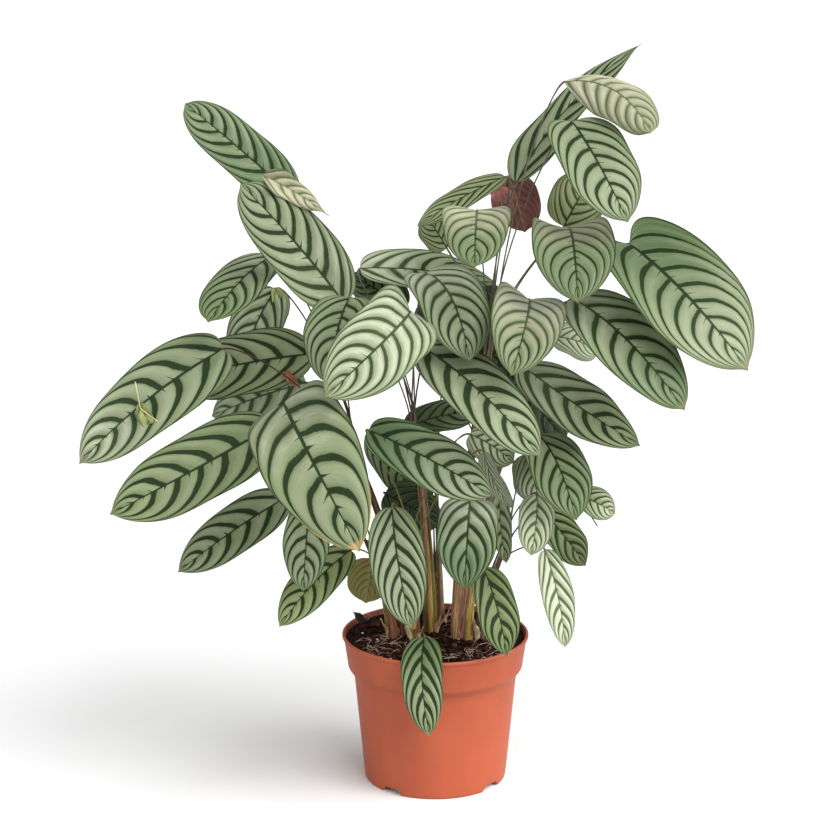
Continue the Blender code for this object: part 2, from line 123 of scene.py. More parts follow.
# Each shoot: where its cane leaves the mix (x, y), its fork (x, y, z), the cane's radius at the foot and
# at the fork, and its leaves. Each leaf: the foot of its blade, its tip, its width, how far its midrib
# bows up from a straight line and sways to its right, the way its upper side looks, how far its edges
# lift at the foot and at the tip as a share of its half width, and how pointed its tip is.
SHOOTS = {
    "left_high": ((-30, 2), (-75, 30, 300), (4.2, 2.0), (
        ((-125, 30, 532), (-222, 60, 611), 46, 6, 0, (0.2, -1, 0.3), (0.0, -0.1), 0.5),
        ((-147, 45, 478), (-197, -45, 437), 54, 5, 1, (-0.2, -0.6, 1), (0.1, -0.1), 0.6),
        ((-146, 85, 439), (-177, 60, 369), 56, 8, 0, (-0.2, -0.8, 1), (0.1, -0.1), 0.6),
        ((-188, -10, 404), (-312, -45, 310), 63, 12, 3, (-0.1, -1, 0.5), (0.1, -0.1), 0.75),
        ((-111, 37, 389), (-236, 52, 361), 62, 8, 0, (0.1, -1, 0.7), (0.1, -0.1), 0.6),
        ((-119, 80, 352), (-205, 75, 322), 50, 6, 0, (0.0, -1, 0.7), (0.1, -0.1), 0.6),
    )),
    "left_low": ((-38, -6), (-62, 0, 225), (4.6, 2.2), (
        ((-145, -20, 336), (-282, -75, 272), 64, 10, -3, (0.0, -1, 0.5), (0.1, -0.1), 0.7),
        ((-136, 20, 259), (-231, -15, 200), 46, 8, 0, (-0.1, -1, 0.6), (0.1, -0.1), 0.8),
        ((-130, -100, 377), (-64, -240, 291), 84, 32, -4, (-0.6, -0.5, 1), (0.1, -0.15), 0.65),
        ((-111, -50, 275), (-115, -105, 212), 40, 8, 0, (0.0, -1, 0.7), (0.1, -0.1), 0.65),
        ((-76, -35, 226), (-136, -95, 176), 37, 8, 2, (0.0, -1, 0.7), (0.1, -0.1), 0.7),
    )),
    "centre": ((-4, 8), (-20, 25, 330), (5.0, 2.4), (
        ((-82, 10, 442), (-168, -15, 550), 61, 8, 1, (0.1, -1, 0.4), (0.1, -0.1), 0.55),
        ((-22, -74, 451), (-90, -178, 403), 67, 26, 0, (0.5, -1, 0.6), (0.35, -0.1), 0.55),
        ((-76, -15, 451), (-92, -75, 388), 58, 14, 0, (-0.1, -0.8, 1), (0.1, -0.1), 0.65),
        ((-9, -4, 471), (28, -91, 413), 63, 20, -2, (0.1, -0.6, 1), (0.2, -0.15), 0.65),
        ((-68, 60, 463), (56, 84, 442), 52, 8, 0, (0.0, -0.7, 1), (0.1, -0.1), 0.65),
        ((-28, 50, 316), (40, 55, 330), 40, 6, 0, (0.0, -0.6, 1), (0.1, -0.1), 0.65),
    )),
    "front": ((-19, -12), (-22, -10, 215), (5.2, 2.2), (
        ((-38, -95, 283), (-21, -140, 190), 47, 10, 3, (0.0, -1, 0.6), (0.1, -0.1), 0.75),
        ((-10, -58, 152), (-6, -118, 83), 37, 19, 2, (-0.15, -1, 0.7), (0.1, -0.2), 0.65),
        ((-58, -95, 352), (46, -115, 300), 49, 8, 0, (0.0, -1, 0.7), (0.1, -0.1), 0.6),
        ((30, -28, 331), (68, -34, 307), 36, 6, 0, (0.0, -1, 0.8), (0.1, -0.1), 0.65),
        ((42, -54, 321), (66, -62, 273), 32, 4, 0, (-1, -0.45, 0.3), (0.1, -0.1), 0.7),
    )),
    "right_high": ((20, -6), (50, 30, 400), (4.4, 2.2), (
        ((36, -10, 528), (31, -122, 500), 58, 14, 0, (0.0, -0.3, 1), (0.2, -0.15), 0.6),
        ((61, 30, 551), (-16, 10, 511), 36, 3, 0, (0.1, -0.3, 1), (0.1, -0.1), 0.7),
        ((66, 82, 543), (82, 97, 491), 44, 4, 0, (0.2, 1, 0.1), (0.0, -0.1), 0.6),
        ((72, 45, 544), (184, 100, 660), 45, 8, -7, (-1, -0.7, 0.3), (0.1, -0.1), 1.2),
        ((112, 20, 636), (180, -62, 604), 44, 10, -11, (-0.2, -0.6, 0.76), (-0.6, -0.5), 0.45),
        ((117, -16, 606), (159, -100, 535), 66, 12, 4, (0.1, -0.7, 1), (0.2, -0.15), 0.6),
        ((115, 55, 502), (140, 45, 552), 50, 6, 0, (0.0, -1, 0.4), (0.1, -0.1), 0.65),
        ((114, -20, 514), (117, -130, 472), 70, 20, 0, (0.0, -0.4, 1), (0.35, -0.15), 0.6),
        ((10, 40, 485), (-9, 45, 515), 32, 4, 0, (-0.1, -1, 0.5), (0.1, -0.1), 0.6),
    )),
    "right_mid": ((28, -10), (72, 10, 330), (3.8, 2.0), (
        ((168, -20, 500), (261, -110, 411), 99, 14, 4, (0.2, -0.8, 1), (0.3, -0.12), 0.65),
        ((120, -30, 453), (208, -120, 378), 68, 18, 3, (0.1, -0.8, 1), (0.2, -0.1), 0.6),
        ((81, -30, 453), (63, -130, 410), 62, 18, 0, (0.3, -0.6, 1), (0.35, -0.12), 0.65),
        ((78, -12, 388), (175, -72, 333), 52, 12, 8, (0.1, -0.9, 0.8), (0.1, -0.1), 0.7),
        ((106, 35, 405), (147, 40, 389), 40, 6, 0, (0.0, -0.8, 1), (0.1, -0.1), 0.65),
    )),
    "right_low": ((40, -6), (66, -10, 230), (4.4, 2.2), (
        ((-10, -50, 414), (86, -130, 340), 59, 16, 3, (0.1, -0.9, 1), (0.1, -0.1), 0.65),
        ((92, -30, 330), (120, -104, 276), 52, 12, 0, (0.1, -0.8, 1), (0.1, -0.1), 0.65),
        ((130, 20, 262), (164, 30, 241), 28, 4, 0, (0.0, -1, 0.5), (0.1, -0.1), 0.65),
        ((89, -50, 281), (83, -80, 236), 32, 8, 0, (0.2, -1, 0.6), (0.1, -0.1), 0.65),
        ((97, -10, 255), (134, -25, 209), 34, 6, 1, (0.3, -1, 0.4), (0.1, -0.1), 0.7),
        ((97, -40, 228), (115, -62, 145), 28, 6, -2, (0.1, -1, 0.3), (0.1, -0.1), 0.7),
        ((42, -60, 217), (62, -92, 148), 38, 8, 0, (0.3, -1, 0.5), (0.1, -0.15), 0.7),
        ((30, -55, 278), (24, -130, 222), 54, 18, 0, (0.0, -0.8, 1), (0.1, -0.1), 0.7),
        ((57, -35, 286), (62, -55, 221), 24, 4, 0, (-0.8, -1, 0.2), (0.1, -0.1), 0.65),
        ((84, 14, 302), (95, -6, 259), 38, 6, 0, (-0.3, -1, 0.4), (0.1, -0.1), 0.65),
    )),
    "back": ((4, 32), (0, 80, 260), (4.6, 2.2), (
        ((-58, 60, 188), (-65, 70, 143), 42, 4, 0, (0.0, 1, 0.3), (0.0, -0.1), 0.6),
        ((-46, 40, 257), (4, 40, 228), 44, 6, 0, (0.0, -1, 0.4), (0.1, -0.1), 0.65),
        ((10, 100, 395), (5, 205, 325), 72, 16, 0, (0.0, 0.8, 1), (0.1, -0.1), 0.65),
        ((-58, 60, 312), (-20, 54, 252), 38, 6, 0, (0.0, -1, 0.5), (0.1, -0.1), 0.65),
    )),
}

# Each leaf's finish, in the same order: how pale its ground is at the foot and at the tip, partly its own paleness
# and partly painted light and shade (below 0 it paints deep shade), how many bands it has on each side, how wide
# they are and how steeply they run to the tip, how deep its ripples are, how green its underside is, how far its
# lobes reach back past the stalk, how yellow-green and how beige it is, how dry its tip's edge is, and how far its
# shoulders swell out. LOOK_DEFAULTS completes a row that stops early.
LOOK_KEYS = ("foot_tone_and_painted_light", "tip_tone_and_painted_light", "count", "wide", "steep",
             "ripple", "green", "lobe", "young", "beige", "dry", "shoulder")
LOOK_DEFAULTS = {"ripple": 0.7, "green": 0.1, "lobe": 0.1, "young": 0.0, "beige": 0.0, "dry": 0.0, "shoulder": 0.0}
LEAF_LOOKS = {
    "left_high": (
        (0, 0.24, 7.5, 1.15, 0.7), (0.62, 0.02, 6.5, 1.1, 0.6, 0.7, 0.1, 0.1, 0.1, 0, 0.1),
        (0.55, 0.75, 6, 1.1, 0.5, 0.7, 0.1, 0.1, 0.1), (0.28, 0.62, 6.8, 1.1, 0.35, 0.8, 0.2, 0.5, 0, 0, 0.3, 0.11),
        (0.4, 0.36, 7, 1.1, 0.5, 0.7, 0.2, 0.1, 0.2), (0.8, 0.9, 5.5, 1.1, 0.5, 0.7, 0.2, 0.1, 0.2),
    ),
    "left_low": (
        (0.06, 0.3, 6.7, 1.25, 0.45, 0.8, 0.2, 0.3, 0.2, 0, 0.1),
        (0.46, 0.46, 5.8, 1.15, 0.5, 0.7, 0.2, 0.2, 0.1, 0, 0.3),
        (0.62, 0.37, 5.4, 0.95, 0.25, 0.8, 0.1, 0.7, 0.1, 0, 1, 0.1), (0.38, 0.3, 6, 1.2, 0.5, 0.7, 0.4),
        (0.2, 0.42, 5.8, 1.15, 0.6, 0.7, 0.4, 0.1, 0.6, 0, 0.2),
    ),
    "centre": (
        (0.62, 0.38, 6.8, 1.15, 0.6, 0.9, 0.1, 0.3, 0, 0, 0.1),
        (0.74, 0.56, 7.6, 0.95, 0.35, 0.8, 0.1, 0.5, 0, 0, 0.1), (0.25, 0.34, 6.5, 1.1, 0.4, 0.7, 0.1, 0.4),
        (0.92, 0.3, 7, 1.05, 0.4, 0.8, 0.1, 0.6, 0, 0.1, 0.1), (0.75, 0.1, 7.5, 1.1, 0.4, 0.7, 0.1, 0.1, 0.1),
        (-0.5, 0.46, 6, 1.1, 0.5),
    ),
    "front": (
        (0.34, 0.46, 6.6, 1.35, 1, 0.7, 0.3, 0.1, 0, 0, 0.1),
        (-0.03, 0.36, 5.4, 1.7, 1.2, 0.7, 0.5, 0, 0.2, 0, 0.4), (-0.02, 0.44, 6.8, 1.25, 0.45, 0.7, 0.1, 0.2),
        (0.95, 0.65, 6, 1.2, 0.5, 0.7, 0.3, 0.1, 0.3), (1.7, 1.6, 6, 1.2, 1.5, 0.7, 0.5, 0.1, 0.2, 0.2, 0.1),
    ),
    "right_high": (
        (0.94, -0.02, 7, 0.85, 0.4, 1, 0.1, 1.3, 0, 0.8, 0.1),
        (0.18, 0.25, 6.5, 1.2, 1.2, 0.7, 0.1, 0.1, 0.3, 0.45), (0.2, 0.2, 6, 1, 0.4, 1.8, 0, 0),
        (0.38, 0.36, 5.2, 1.3, 1.8, 0.8, 0, 0.1, 0, 0, 0, 0.45),
        (0.82, 0.5, 8, 0.65, 0.1, 3, 0.1, -0.9, 0, 0.8, 0.2), (0.38, 0.42, 7.2, 1.1, 0.3, 0.8, 0.1, 0.3),
        (0.48, 0.62, 6, 1.1, 0.5, 0.7, 0.1, 0.1, 0.5, 0.3), (0.68, -0.18, 7, 0.8, 0.5, 0.9, 0.1, 1.6, 0, 0.75, 0.1),
        (0.62, 0.6, 6, 1.1, 0.5, 0.7, 0.1, 0.1, 0.6),
    ),
    "right_mid": (
        (0.02, 0.53, 7.8, 0.95, 0.35, 1.2, 0.1, 1.5, 0, 0.1, 0.2),
        (0.66, 0.14, 6.6, 1, 0.5, 0.8, 0.1, 0.3, 0, 0, 0.2), (1.5, 0.1, 7, 0.9, 0.45, 1, 0.1, 1.7, 0, 0.65, 0.1),
        (0.86, 0.42, 6.2, 1.25, 0.6, 0.7, 0.1, 0.2, 0.2), (1.25, 1.45, 6, 1.1, 0.5, 0.7, 0.1, 0.1, 0.3, 0.3),
    ),
    "right_low": (
        (0.58, 0.42, 6.4, 1.3, 0.5, 0.9, 0.1, 0.3, 0, 0, 0.1), (0.42, 0.08, 5.6, 1.15, 0.9, 0.7, 0.2, 0.3, 0.1),
        (0.45, 0.85, 5.5, 1.1, 0.5, 0.7, 0.3, 0.1, 0.4), (2.2, 1.2, 5, 1.4, 0.8, 0.7, 0.3, 0.1, 0.45),
        (0.36, -0.95, 5, 1.4, 0.8, 0.7, 0.3, 0.1, 0.4), (1.05, 1.1, 6.4, 1.3, 1.1, 0.7, 0.4, 0, 0.2, 0.1, 0.1),
        (-0.38, -0.14, 4.8, 1.6, 1, 0.7, 0.4, 0.1, 0.4), (0.98, -0.08, 4.9, 1.3, 1, 0.7, 0.2, 0.3),
        (0.9, 0.72, 6, 1.1, 0.5, 0.7, 0.3, 0.1, 0.5), (0.4, 1.05, 6, 1.1, 0.8, 0.7, 0.3, 0.1, 0.1),
    ),
    "back": (
        (0.35, 0.2, 6, 1.1, 0.5, 0.7, 1, 0.2, 1), (-0.6, -0.85, 6, 1.1, 0.5, 0.7, 0.4),
        (0.4, 0.4, 6.5, 1.1, 0.5, 0.8, 0.1, 0.3, 0, 0, 0.1), (0.5, 0.05, 6, 1.1, 0.6, 0.7, 0.1, 0.1, 0.1),
    ),
}

# Loose and shaded pieces: the kind of skin, the blade's values as in SHOOTS, its finish as in LEAF_LOOKS.
LITTER = {
    "dry_leaf": ("banded", ((-151, -6, 558), (-93, -12, 523), 19, -3, -3, (0.2, -1, 0.4), (0.9, -1.1), 2.3),
                 (0.4, 0.4, 6, 0.8, 0.9, 1.6, 0, -0.2, 0, 1.6, 0.5, 0.4)),
    "torn_leaf": ("banded", ((-146, 82, 441), (-134, 70, 418), 14, 2, 1, (-0.2, -1, 0.3), (0.3, -0.4), 0.9),
                  (0.95, 0.95, 2, 0.5, 0.9, 1, 0, 0, 1.2, 0, 0.6)),
    "rose_curl": ("rose", ((59, 66, 537), (66, 70, 505), 22, 3, 1, (-0.4, -1, 0.2), (-0.5, 0.7), 0.5),
                  (0.5, 0.5, 6, 1, 0.4, 2.4, 0, 0)),
    "brown_scrap": ("rust", ((-136, 24, 375), (-122, 21, 362), 8, 3, 1, (0.2, -1, 0.4), (1.1, -1.1), 1.6),
                    (0.5, 0.5, 4, 1, 0.4, 2, 0, 0)),
    "torn_flap": ("banded", ((-258, -47, 364), (-245, -45, 338), 13, 1, 2, (-0.1, -1, 0.5), (0.2, -0.3), 1.3),
                  (0.4, 0.5, 2, 0.5, 0.4, 1, 0, 0, 1.1, 0.6, 0.9)),
    "rim_scrap": ("bark", ((-66, 32, 134), (-76, 34, 145), 7, 2, 1, (0.3, -1, 0.2), (0.6, -0.6), 1.6),
                  (0.5, 0.5, 4, 1, 0.4, 1, 0, 0)),
    # Painted deep shade: the shaded and hidden leaves lie deep in the crown, and their low paleness paints them dark
    # to near-black.
    "shaded_leaf": ("living", ((46, 60, 447), (58, 50, 370), 36, 6, 0, (0, -1, 0.4), (0.1, -0.1), 0.65),
                    (-0.95, -0.95, 6, 1.2, 0.5, 0.7, 0.3)),
    "hidden_leaf_right": ("living", ((38, 52, 400), (118, 46, 305), 52, 8, 0, (0.1, -1, 0.4), (0.1, -0.1), 0.6),
                          (-0.95, -0.7, 6.2, 1.2, 0.5, 0.7, 0.2)),
    "hidden_leaf_left": ("living", ((-27, 62, 426), (-76, 68, 455), 38, 6, 0, (0, -1, 0.4), (0.1, -0.1), 0.6),
                         (-0.45, 0.1, 6, 1.2, 0.5, 0.7, 0.2)),
    "hidden_leaf_middle": ("living", ((-12, 40, 385), (3, 46, 447), 32, 5, 0, (0, -1, 0.3), (0.1, -0.1), 0.6),
                           (-0.8, -0.6, 6, 1.2, 0.5, 0.7, 0.2)),
}
# Dead stalks, and the stalks of the shaded leaves, whose near-black skin there is painted shade: the kind of skin,
# the radius and the points they run through.
TWIGS = {
    "bent_straw": ("straw", 0.55, ((-262, -47, 383), (-258, -48, 359), (-241, -46, 345))),
    "dead_stalk": ("bark", 0.60, ((128, 21, 259), (140, 25, 243), (148, 27, 230))),
    "shaded_stalk": ("bark", 0.80, ((46, 60, 447), (38, 52, 400), (72, 10, 330))),
    "hidden_stalk_left": ("bark", 0.80, ((-27, 62, 428), (-32, 50, 378), (-20, 25, 330))),
    "hidden_stalk_middle": ("bark", 0.80, ((-12, 40, 385), (-17, 33, 355), (-20, 25, 330))),
}
# The skins of the dry pieces: a dark and a light tint, as linear light.
HUSK_TINTS = {
    "straw": ((0.46, 0.36, 0.17), (0.82, 0.72, 0.48)),
    "tan": ((0.30, 0.12, 0.065), (0.78, 0.46, 0.30)),
    "rust": ((0.20, 0.075, 0.035), (0.52, 0.24, 0.12)),
    "rose": ((0.20, 0.065, 0.060), (0.50, 0.21, 0.18)),
    # Near-black bark: the own colour of the dead stalk and the rim scrap, and painted deep shade on the stalks of
    # the shaded and hidden leaves.
    "bark": ((0.015, 0.010, 0.007), (0.060, 0.045, 0.032)),
}

# Stem colours, as linear light, and each shoot's colours: its cane, its sheaths in turn, and its stalks.
STEM_TINTS = {
    "olive": (0.270, 0.230, 0.060),
    "ochre": (0.620, 0.440, 0.120),
    "straw": (0.760, 0.640, 0.300),
    "mauve": (0.480, 0.200, 0.210),
    "salmon": (0.600, 0.310, 0.230),
    "brown": (0.085, 0.042, 0.026),
    "dun": (0.175, 0.165, 0.125),
    "rust": (0.280, 0.110, 0.065),
}
SHOOT_TINTS = {
    "left_high": ("olive", ("brown", "olive", "rust"), "brown"),
    "left_low": ("olive", ("ochre", "olive", "rust"), "brown"),
    "centre": ("mauve", ("olive", "mauve", "ochre", "rust", "olive"), "dun"),
    "front": ("ochre", ("straw", "ochre", "rust"), "olive"),
    "right_high": ("mauve", ("mauve", "straw", "salmon", "ochre"), "dun"),
    "right_mid": ("salmon", ("straw", "salmon", "ochre"), "dun"),
    "right_low": ("salmon", ("salmon", "dun", "rust"), "dun"),
    "back": ("olive", ("olive", "brown", "rust"), "brown"),
}


def tint(label, use, *value):
    """A colour that a user can change, as linear light."""
    return bpy.props.FloatVectorProperty(
        name=label, description=use, default=value, subtype="COLOR", min=0.0, max=1.0)


class CtenantheSettings(bpy.types.PropertyGroup):
    """The sizes and colours that a user would change."""

    leaf_thickness: bpy.props.FloatProperty(
        name="Leaf thickness", description="How thick a blade is away from its midrib",
        default=0.5 * MM, min=0.2 * MM, unit="LENGTH")
    stalk_radius: bpy.props.FloatProperty(
        name="Stalk radius", description="Radius of a leaf stalk in the middle of its length",
        default=0.7 * MM, min=0.3 * MM, unit="LENGTH")
    sheath_radius: bpy.props.FloatProperty(
        name="Sheath radius", description="Radius of the sheath at the foot of a leaf stalk",
        default=2.7 * MM, min=0.5 * MM, unit="LENGTH")
    blade_rows: bpy.props.IntProperty(
        name="Blade rows", description="Rows of faces from the foot of a blade to its tip", default=72, min=24)
    blade_columns: bpy.props.IntProperty(
        name="Blade columns", description="Columns of faces across a blade", default=32, min=12)
    # Painted deep shade: the near-black ground of leaves that lie deep in shade. The other grounds and the bands are
    # reached through each leaf's paleness, which holds painted light and shade as well as the leaf's own colour.
    ground_in_painted_deep_shade: tint("Deep ground", "Between the bands of nearly black leaves", 0.027, 0.040, 0.019)
    ground_dark: tint("Dark ground", "Between the bands of dark leaves", 0.095, 0.149, 0.069)
    ground_middle: tint("Middle ground", "Between the bands of middling leaves", 0.240, 0.278, 0.167)
    ground_pale: tint("Pale ground", "Between the bands of the palest leaves", 0.62, 0.665, 0.51)
    ground_warm: tint("Warm ground", "Beige that some leaves lean to", 0.50, 0.43, 0.31)
    young_green: tint("Young green", "Yellow-green that young leaves lean to", 0.30, 0.34, 0.10)
    band_dark: tint("Dark bands", "Bands of the darkest leaves", 0.004, 0.016, 0.001)
    band_pale: tint("Pale bands", "Bands of the palest leaves", 0.092, 0.130, 0.055)
    edge_green: tint("Edge green", "The blades' edges and tips", 0.105, 0.168, 0.048)
    dry_edge: tint("Dry edge", "Orange-brown of dried leaf edges", 0.52, 0.34, 0.13)
    underside_red: tint("Red underside", "Underside of a mature leaf", 0.21, 0.070, 0.065)
    underside_green: tint("Green underside", "Underside of a young leaf", 0.28, 0.28, 0.070)
    glow_green: tint("Glow green", "Light that a blade passes on to those below", 0.13, 0.24, 0.06)
    pot_colour: tint("Pot", "The pot's plastic", 0.51, 0.105, 0.044)
    mix_dark: tint("Dark mix", "Wet potting mix", 0.006, 0.003, 0.002)
    mix_brown: tint("Brown mix", "Drier potting mix", 0.055, 0.018, 0.009)
    floor_colour: tint("Floor", "The plain floor", 0.90, 0.90, 0.90)


def settings():
    """The values that the scene holds."""
    return bpy.context.scene.ctenanthe


# ---------------------------------------------------------------- numbers and curves

def unit(vectors):
    """Vectors divided by their lengths, along the last axis."""
    return vectors / np.maximum(np.linalg.norm(vectors, axis=-1, keepdims=True), 1e-9)


def step(low, high, values):
    """0 at low, 1 at high, and a smooth rise between them: 3s^2 - 2s^3."""
    share = np.clip((values - low) / (high - low), 0.0, 1.0)
    return share * share * (3.0 - 2.0 * share)


def bend(start, middle, end, shares):
    """Points of the quadratic curve (1-s)^2 start + 2s(1-s) middle + s^2 end, one row for each share s."""
    far = np.asarray(shares, float)[:, None]
    near = 1.0 - far
    return near * near * start + 2.0 * near * far * middle + far * far * end


def value_noise(x, y, cell, seed):
    """Random heights from -1 to 1 on a square lattice of the given cell, blended smoothly between its points."""
    size = 64
    lattice = np.random.default_rng(seed).uniform(-1.0, 1.0, (size, size))
    across, up = np.asarray(x, float) / cell, np.asarray(y, float) / cell
    column, row = np.floor(across).astype(int), np.floor(up).astype(int)
    right, top = step(0.0, 1.0, across - column), step(0.0, 1.0, up - row)
    left_column, right_column = column % size, (column + 1) % size
    low, high = (lattice[line % size, left_column] * (1.0 - right) + lattice[line % size, right_column] * right
                 for line in (row, row + 1))
    return low * (1.0 - top) + high * top


# ---------------------------------------------------------------- meshes

def ring_quads(rows, columns):
    """Quads of a grid whose vertices are numbered row by row, closed from the last column to the first."""
    row = np.arange(rows - 1)[:, None] * columns
    left = np.arange(columns)[None, :]
    right = (left + 1) % columns
    return np.stack([row + left, row + right, row + columns + right, row + columns + left], axis=-1).reshape(-1, 4)


def ring_points(radii, heights, sides):
    """Points of rings about the axis, one ring for each radius and height (a number, or one for each side)."""
    angles = np.arange(sides) * math.tau / sides
    return np.stack(np.broadcast_arrays(radii[:, None] * np.cos(angles), radii[:, None] * np.sin(angles), heights),
                    axis=-1)


def new_mesh(name, points, faces):
    """A mesh from points in millimetres."""
    mesh = bpy.data.meshes.new(name)
    mesh.from_pydata((np.asarray(points) * MM).tolist(), [], faces)
    return mesh


def place_object(name, data):
    """An object that shows its data, in the scene."""
    thing = bpy.data.objects.new(name, data)
    bpy.context.collection.objects.link(thing)
    return thing


def new_piece(name, points, faces, materials, slot, uv=None, vectors=None, face_slots=None):
    """A smooth mesh object from points in millimetres, which rides on the plant's one body."""
    mesh = new_mesh(name, points, faces)
    corners = np.empty(len(mesh.loops), int)
    mesh.loops.foreach_get("vertex_index", corners)
    if uv is not None:
        layer = mesh.uv_layers.new(name="surface_map")
        layer.data.foreach_set("uv", np.asarray(uv, float)[corners].ravel())
    for key, values in (vectors or {}).items():
        layer = mesh.attributes.new(key, "FLOAT_VECTOR", "POINT")
        layer.data.foreach_set("vector", np.asarray(values, float).ravel())
    for material in materials:
        mesh.materials.append(material)
    if face_slots is not None:
        mesh.polygons.foreach_set("material_index", np.asarray(face_slots, np.int32))
    mesh.polygons.foreach_set("use_smooth", np.ones(len(mesh.polygons), bool))
    mesh.validate()
    mesh.update()
    piece = place_object(name, mesh)
    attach(piece, "root")
    return piece


def tubes(paths, radii, sides):
    """Round tubes along paths: each ring is P + r (cos a A + sin a B), with A across the path and B across both.

    paths has one row of points per tube and radii one radius per point. Returns points, quads and end caps.
    """
    count, rows = paths.shape[:2]
    along = unit(np.gradient(paths, axis=1))
    chord = paths[:, -1] - paths[:, 0]
    plane = np.cross(chord, paths[:, rows // 2] - paths[:, 0])
    flat = np.linalg.norm(plane, axis=-1, keepdims=True) < 1e-3 * np.linalg.norm(chord, axis=-1, keepdims=True) ** 2
    spare = np.cross(chord, np.where(np.abs(unit(chord)[:, :1]) > 0.9, (0.0, 1.0, 0.0), (1.0, 0.0, 0.0)))
    plane = unit(np.where(flat, spare, plane))[:, None, :]
    first = unit(plane - np.sum(plane * along, axis=-1, keepdims=True) * along)
    second = np.cross(along, first)
    angles = np.arange(sides)[:, None] * math.tau / sides
    ring = np.cos(angles) * first[:, :, None, :] + np.sin(angles) * second[:, :, None, :]
    points = paths[:, :, None, :] + radii[:, :, None, None] * ring
    starts = np.arange(count) * rows * sides
    faces = (ring_quads(rows, sides)[None] + starts[:, None, None]).reshape(-1, 4).tolist()
    foot = np.arange(sides)[::-1]
    top = np.arange(sides) + (rows - 1) * sides
    for start in starts:
        faces += [(foot + start).tolist(), (top + start).tolist()]
    return points.reshape(-1, 3), faces


def tube_map(rows, sides, heights):
    """A map of a tube: once round, mirrored so that it has no seam, and along."""
    around = np.abs(np.arange(sides) / sides * 2.0 - 1.0)
    return np.stack(np.broadcast_arrays(around[None, :], heights[:, None]), axis=-1).reshape(-1, 2)


def turned_faces(rows, sides):
    """Faces of a profile turned round the axis, whose first and last rows are single points."""
    body = ring_quads(rows - 2, sides) + 1
    last = 1 + (rows - 3) * sides
    start = [[0, 1 + (side + 1) % sides, 1 + side] for side in range(sides)]
    end = [[last + side, last + (side + 1) % sides, last + sides] for side in range(sides)]
    return start + body[:, ::-1].tolist() + end


# ---------------------------------------------------------------- shader building blocks

class Field:
    """A node's output, written like a number that changes over the surface."""

    def __init__(self, tree, socket):
        self.tree = tree
        self.socket = socket

    def __add__(self, other):
        return calc("ADD", self, other)

    def __sub__(self, other):
        return calc("SUBTRACT", self, other)

    def __rsub__(self, other):
        return calc("SUBTRACT", other, self)

    def __mul__(self, other):
        return calc("MULTIPLY", self, other)

    def __truediv__(self, other):
        return calc("DIVIDE", self, other)

    def __pow__(self, other):
        return calc("POWER", self, other)

    def __abs__(self):
        return calc("ABSOLUTE", self)


def feed(socket, value):
    """Links a field to a socket, or sets the socket to a number or a colour."""
    if isinstance(value, Field):
        value.tree.links.new(value.socket, socket)
    else:
        socket.default_value = (*value, 1.0) if socket.type == "RGBA" else value


def source(tree, kind, output, **properties):
    """A field that a new node gives from the surface or the ray."""
    node = tree.nodes.new(kind)
    for key, value in properties.items():
        setattr(node, key, value)
    return Field(tree, node.outputs[output])


def derived(kind, output, inputs, **properties):
    """A field that a new node gives from its inputs, by number or name, of which one at least is a field."""
    tree = next(value.tree for value in inputs.values() if isinstance(value, Field))
    field = source(tree, kind, output, **properties)
    for key, value in inputs.items():
        feed(field.socket.node.inputs[key], value)
    return field


def calc(operation, *values):
    """A Math node's result."""
    return derived("ShaderNodeMath", 0, dict(enumerate(values)), operation=operation)


def highest(first, *others):
    """The highest of some fields."""
    for other in others:
        first = calc("MAXIMUM", first, other)
    return first


def rise(value, low, high, start=0.0, end=1.0):
    """A smooth step from start to end while value goes from low to high."""
    return derived("ShaderNodeMapRange", 0, dict(enumerate((value, low, high, start, end))),
                   interpolation_type="SMOOTHSTEP", clamp=True)


def blend(share, first, second, mode="MIX"):
    """Two colours mixed by share."""
    return derived("ShaderNodeMix", 2, {0: share, 6: first, 7: second},
                   data_type="RGBA", blend_type=mode, clamp_factor=True)


def speckle(vector, scale, detail=2.0, roughness=0.5, stretch=(1.0, 1.0, 1.0)):
    """Noise from 0 to 1, in cells per metre or per map unit, read at a place multiplied by stretch."""
    mapped = derived("ShaderNodeMapping", 0, {"Vector": vector, "Scale": stretch})
    return derived("ShaderNodeTexNoise", "Fac",
                   {"Vector": mapped, "Scale": scale, "Detail": detail, "Roughness": roughness})


def parts_of(vector):
    """The x, y and z of a vector."""
    split = derived("ShaderNodeSeparateXYZ", 0, {0: vector})
    return [Field(vector.tree, socket) for socket in split.socket.node.outputs]


def vector_of(x, y, z):
    """A vector from its x, y and z."""
    return derived("ShaderNodeCombineXYZ", 0, {0: x, 1: y, 2: z})


def bumped(height, depth, strength):
    """A normal tilted by a height from 0 to 1 that stands for depth metres."""
    return derived("ShaderNodeBump", 0, {"Height": height, "Distance": depth, "Strength": strength})


def attribute(tree, name):
    """A vector that the mesh carries."""
    return source(tree, "ShaderNodeAttribute", "Vector", attribute_name=name)


def surface_map(tree):
    """The place on the piece's own map."""
    return source(tree, "ShaderNodeUVMap", 0, uv_map="surface_map")


def solid_place(tree):
    """The place in the piece's own space, in metres."""
    return source(tree, "ShaderNodeTexCoord", "Object")


def camera_ray(tree):
    """1 for what the camera sees, and 0 for light on its way."""
    return source(tree, "ShaderNodeLightPath", "Is Camera Ray")


def new_material(name):
    """A material, its node tree and its shader's inputs."""
    material = bpy.data.materials.new(name)
    material.use_nodes = True
    return material, material.node_tree, material.node_tree.nodes["Principled BSDF"].inputs


def set_skin(skin, colour, roughness, normal, specular):
    """Feeds a shader's colour, roughness, normal and specular level."""
    for key, value in (("Base Color", colour), ("Roughness", roughness), ("Specular IOR Level", specular)):
        feed(skin[key], value)
    if normal is not None:
        feed(skin["Normal"], normal)


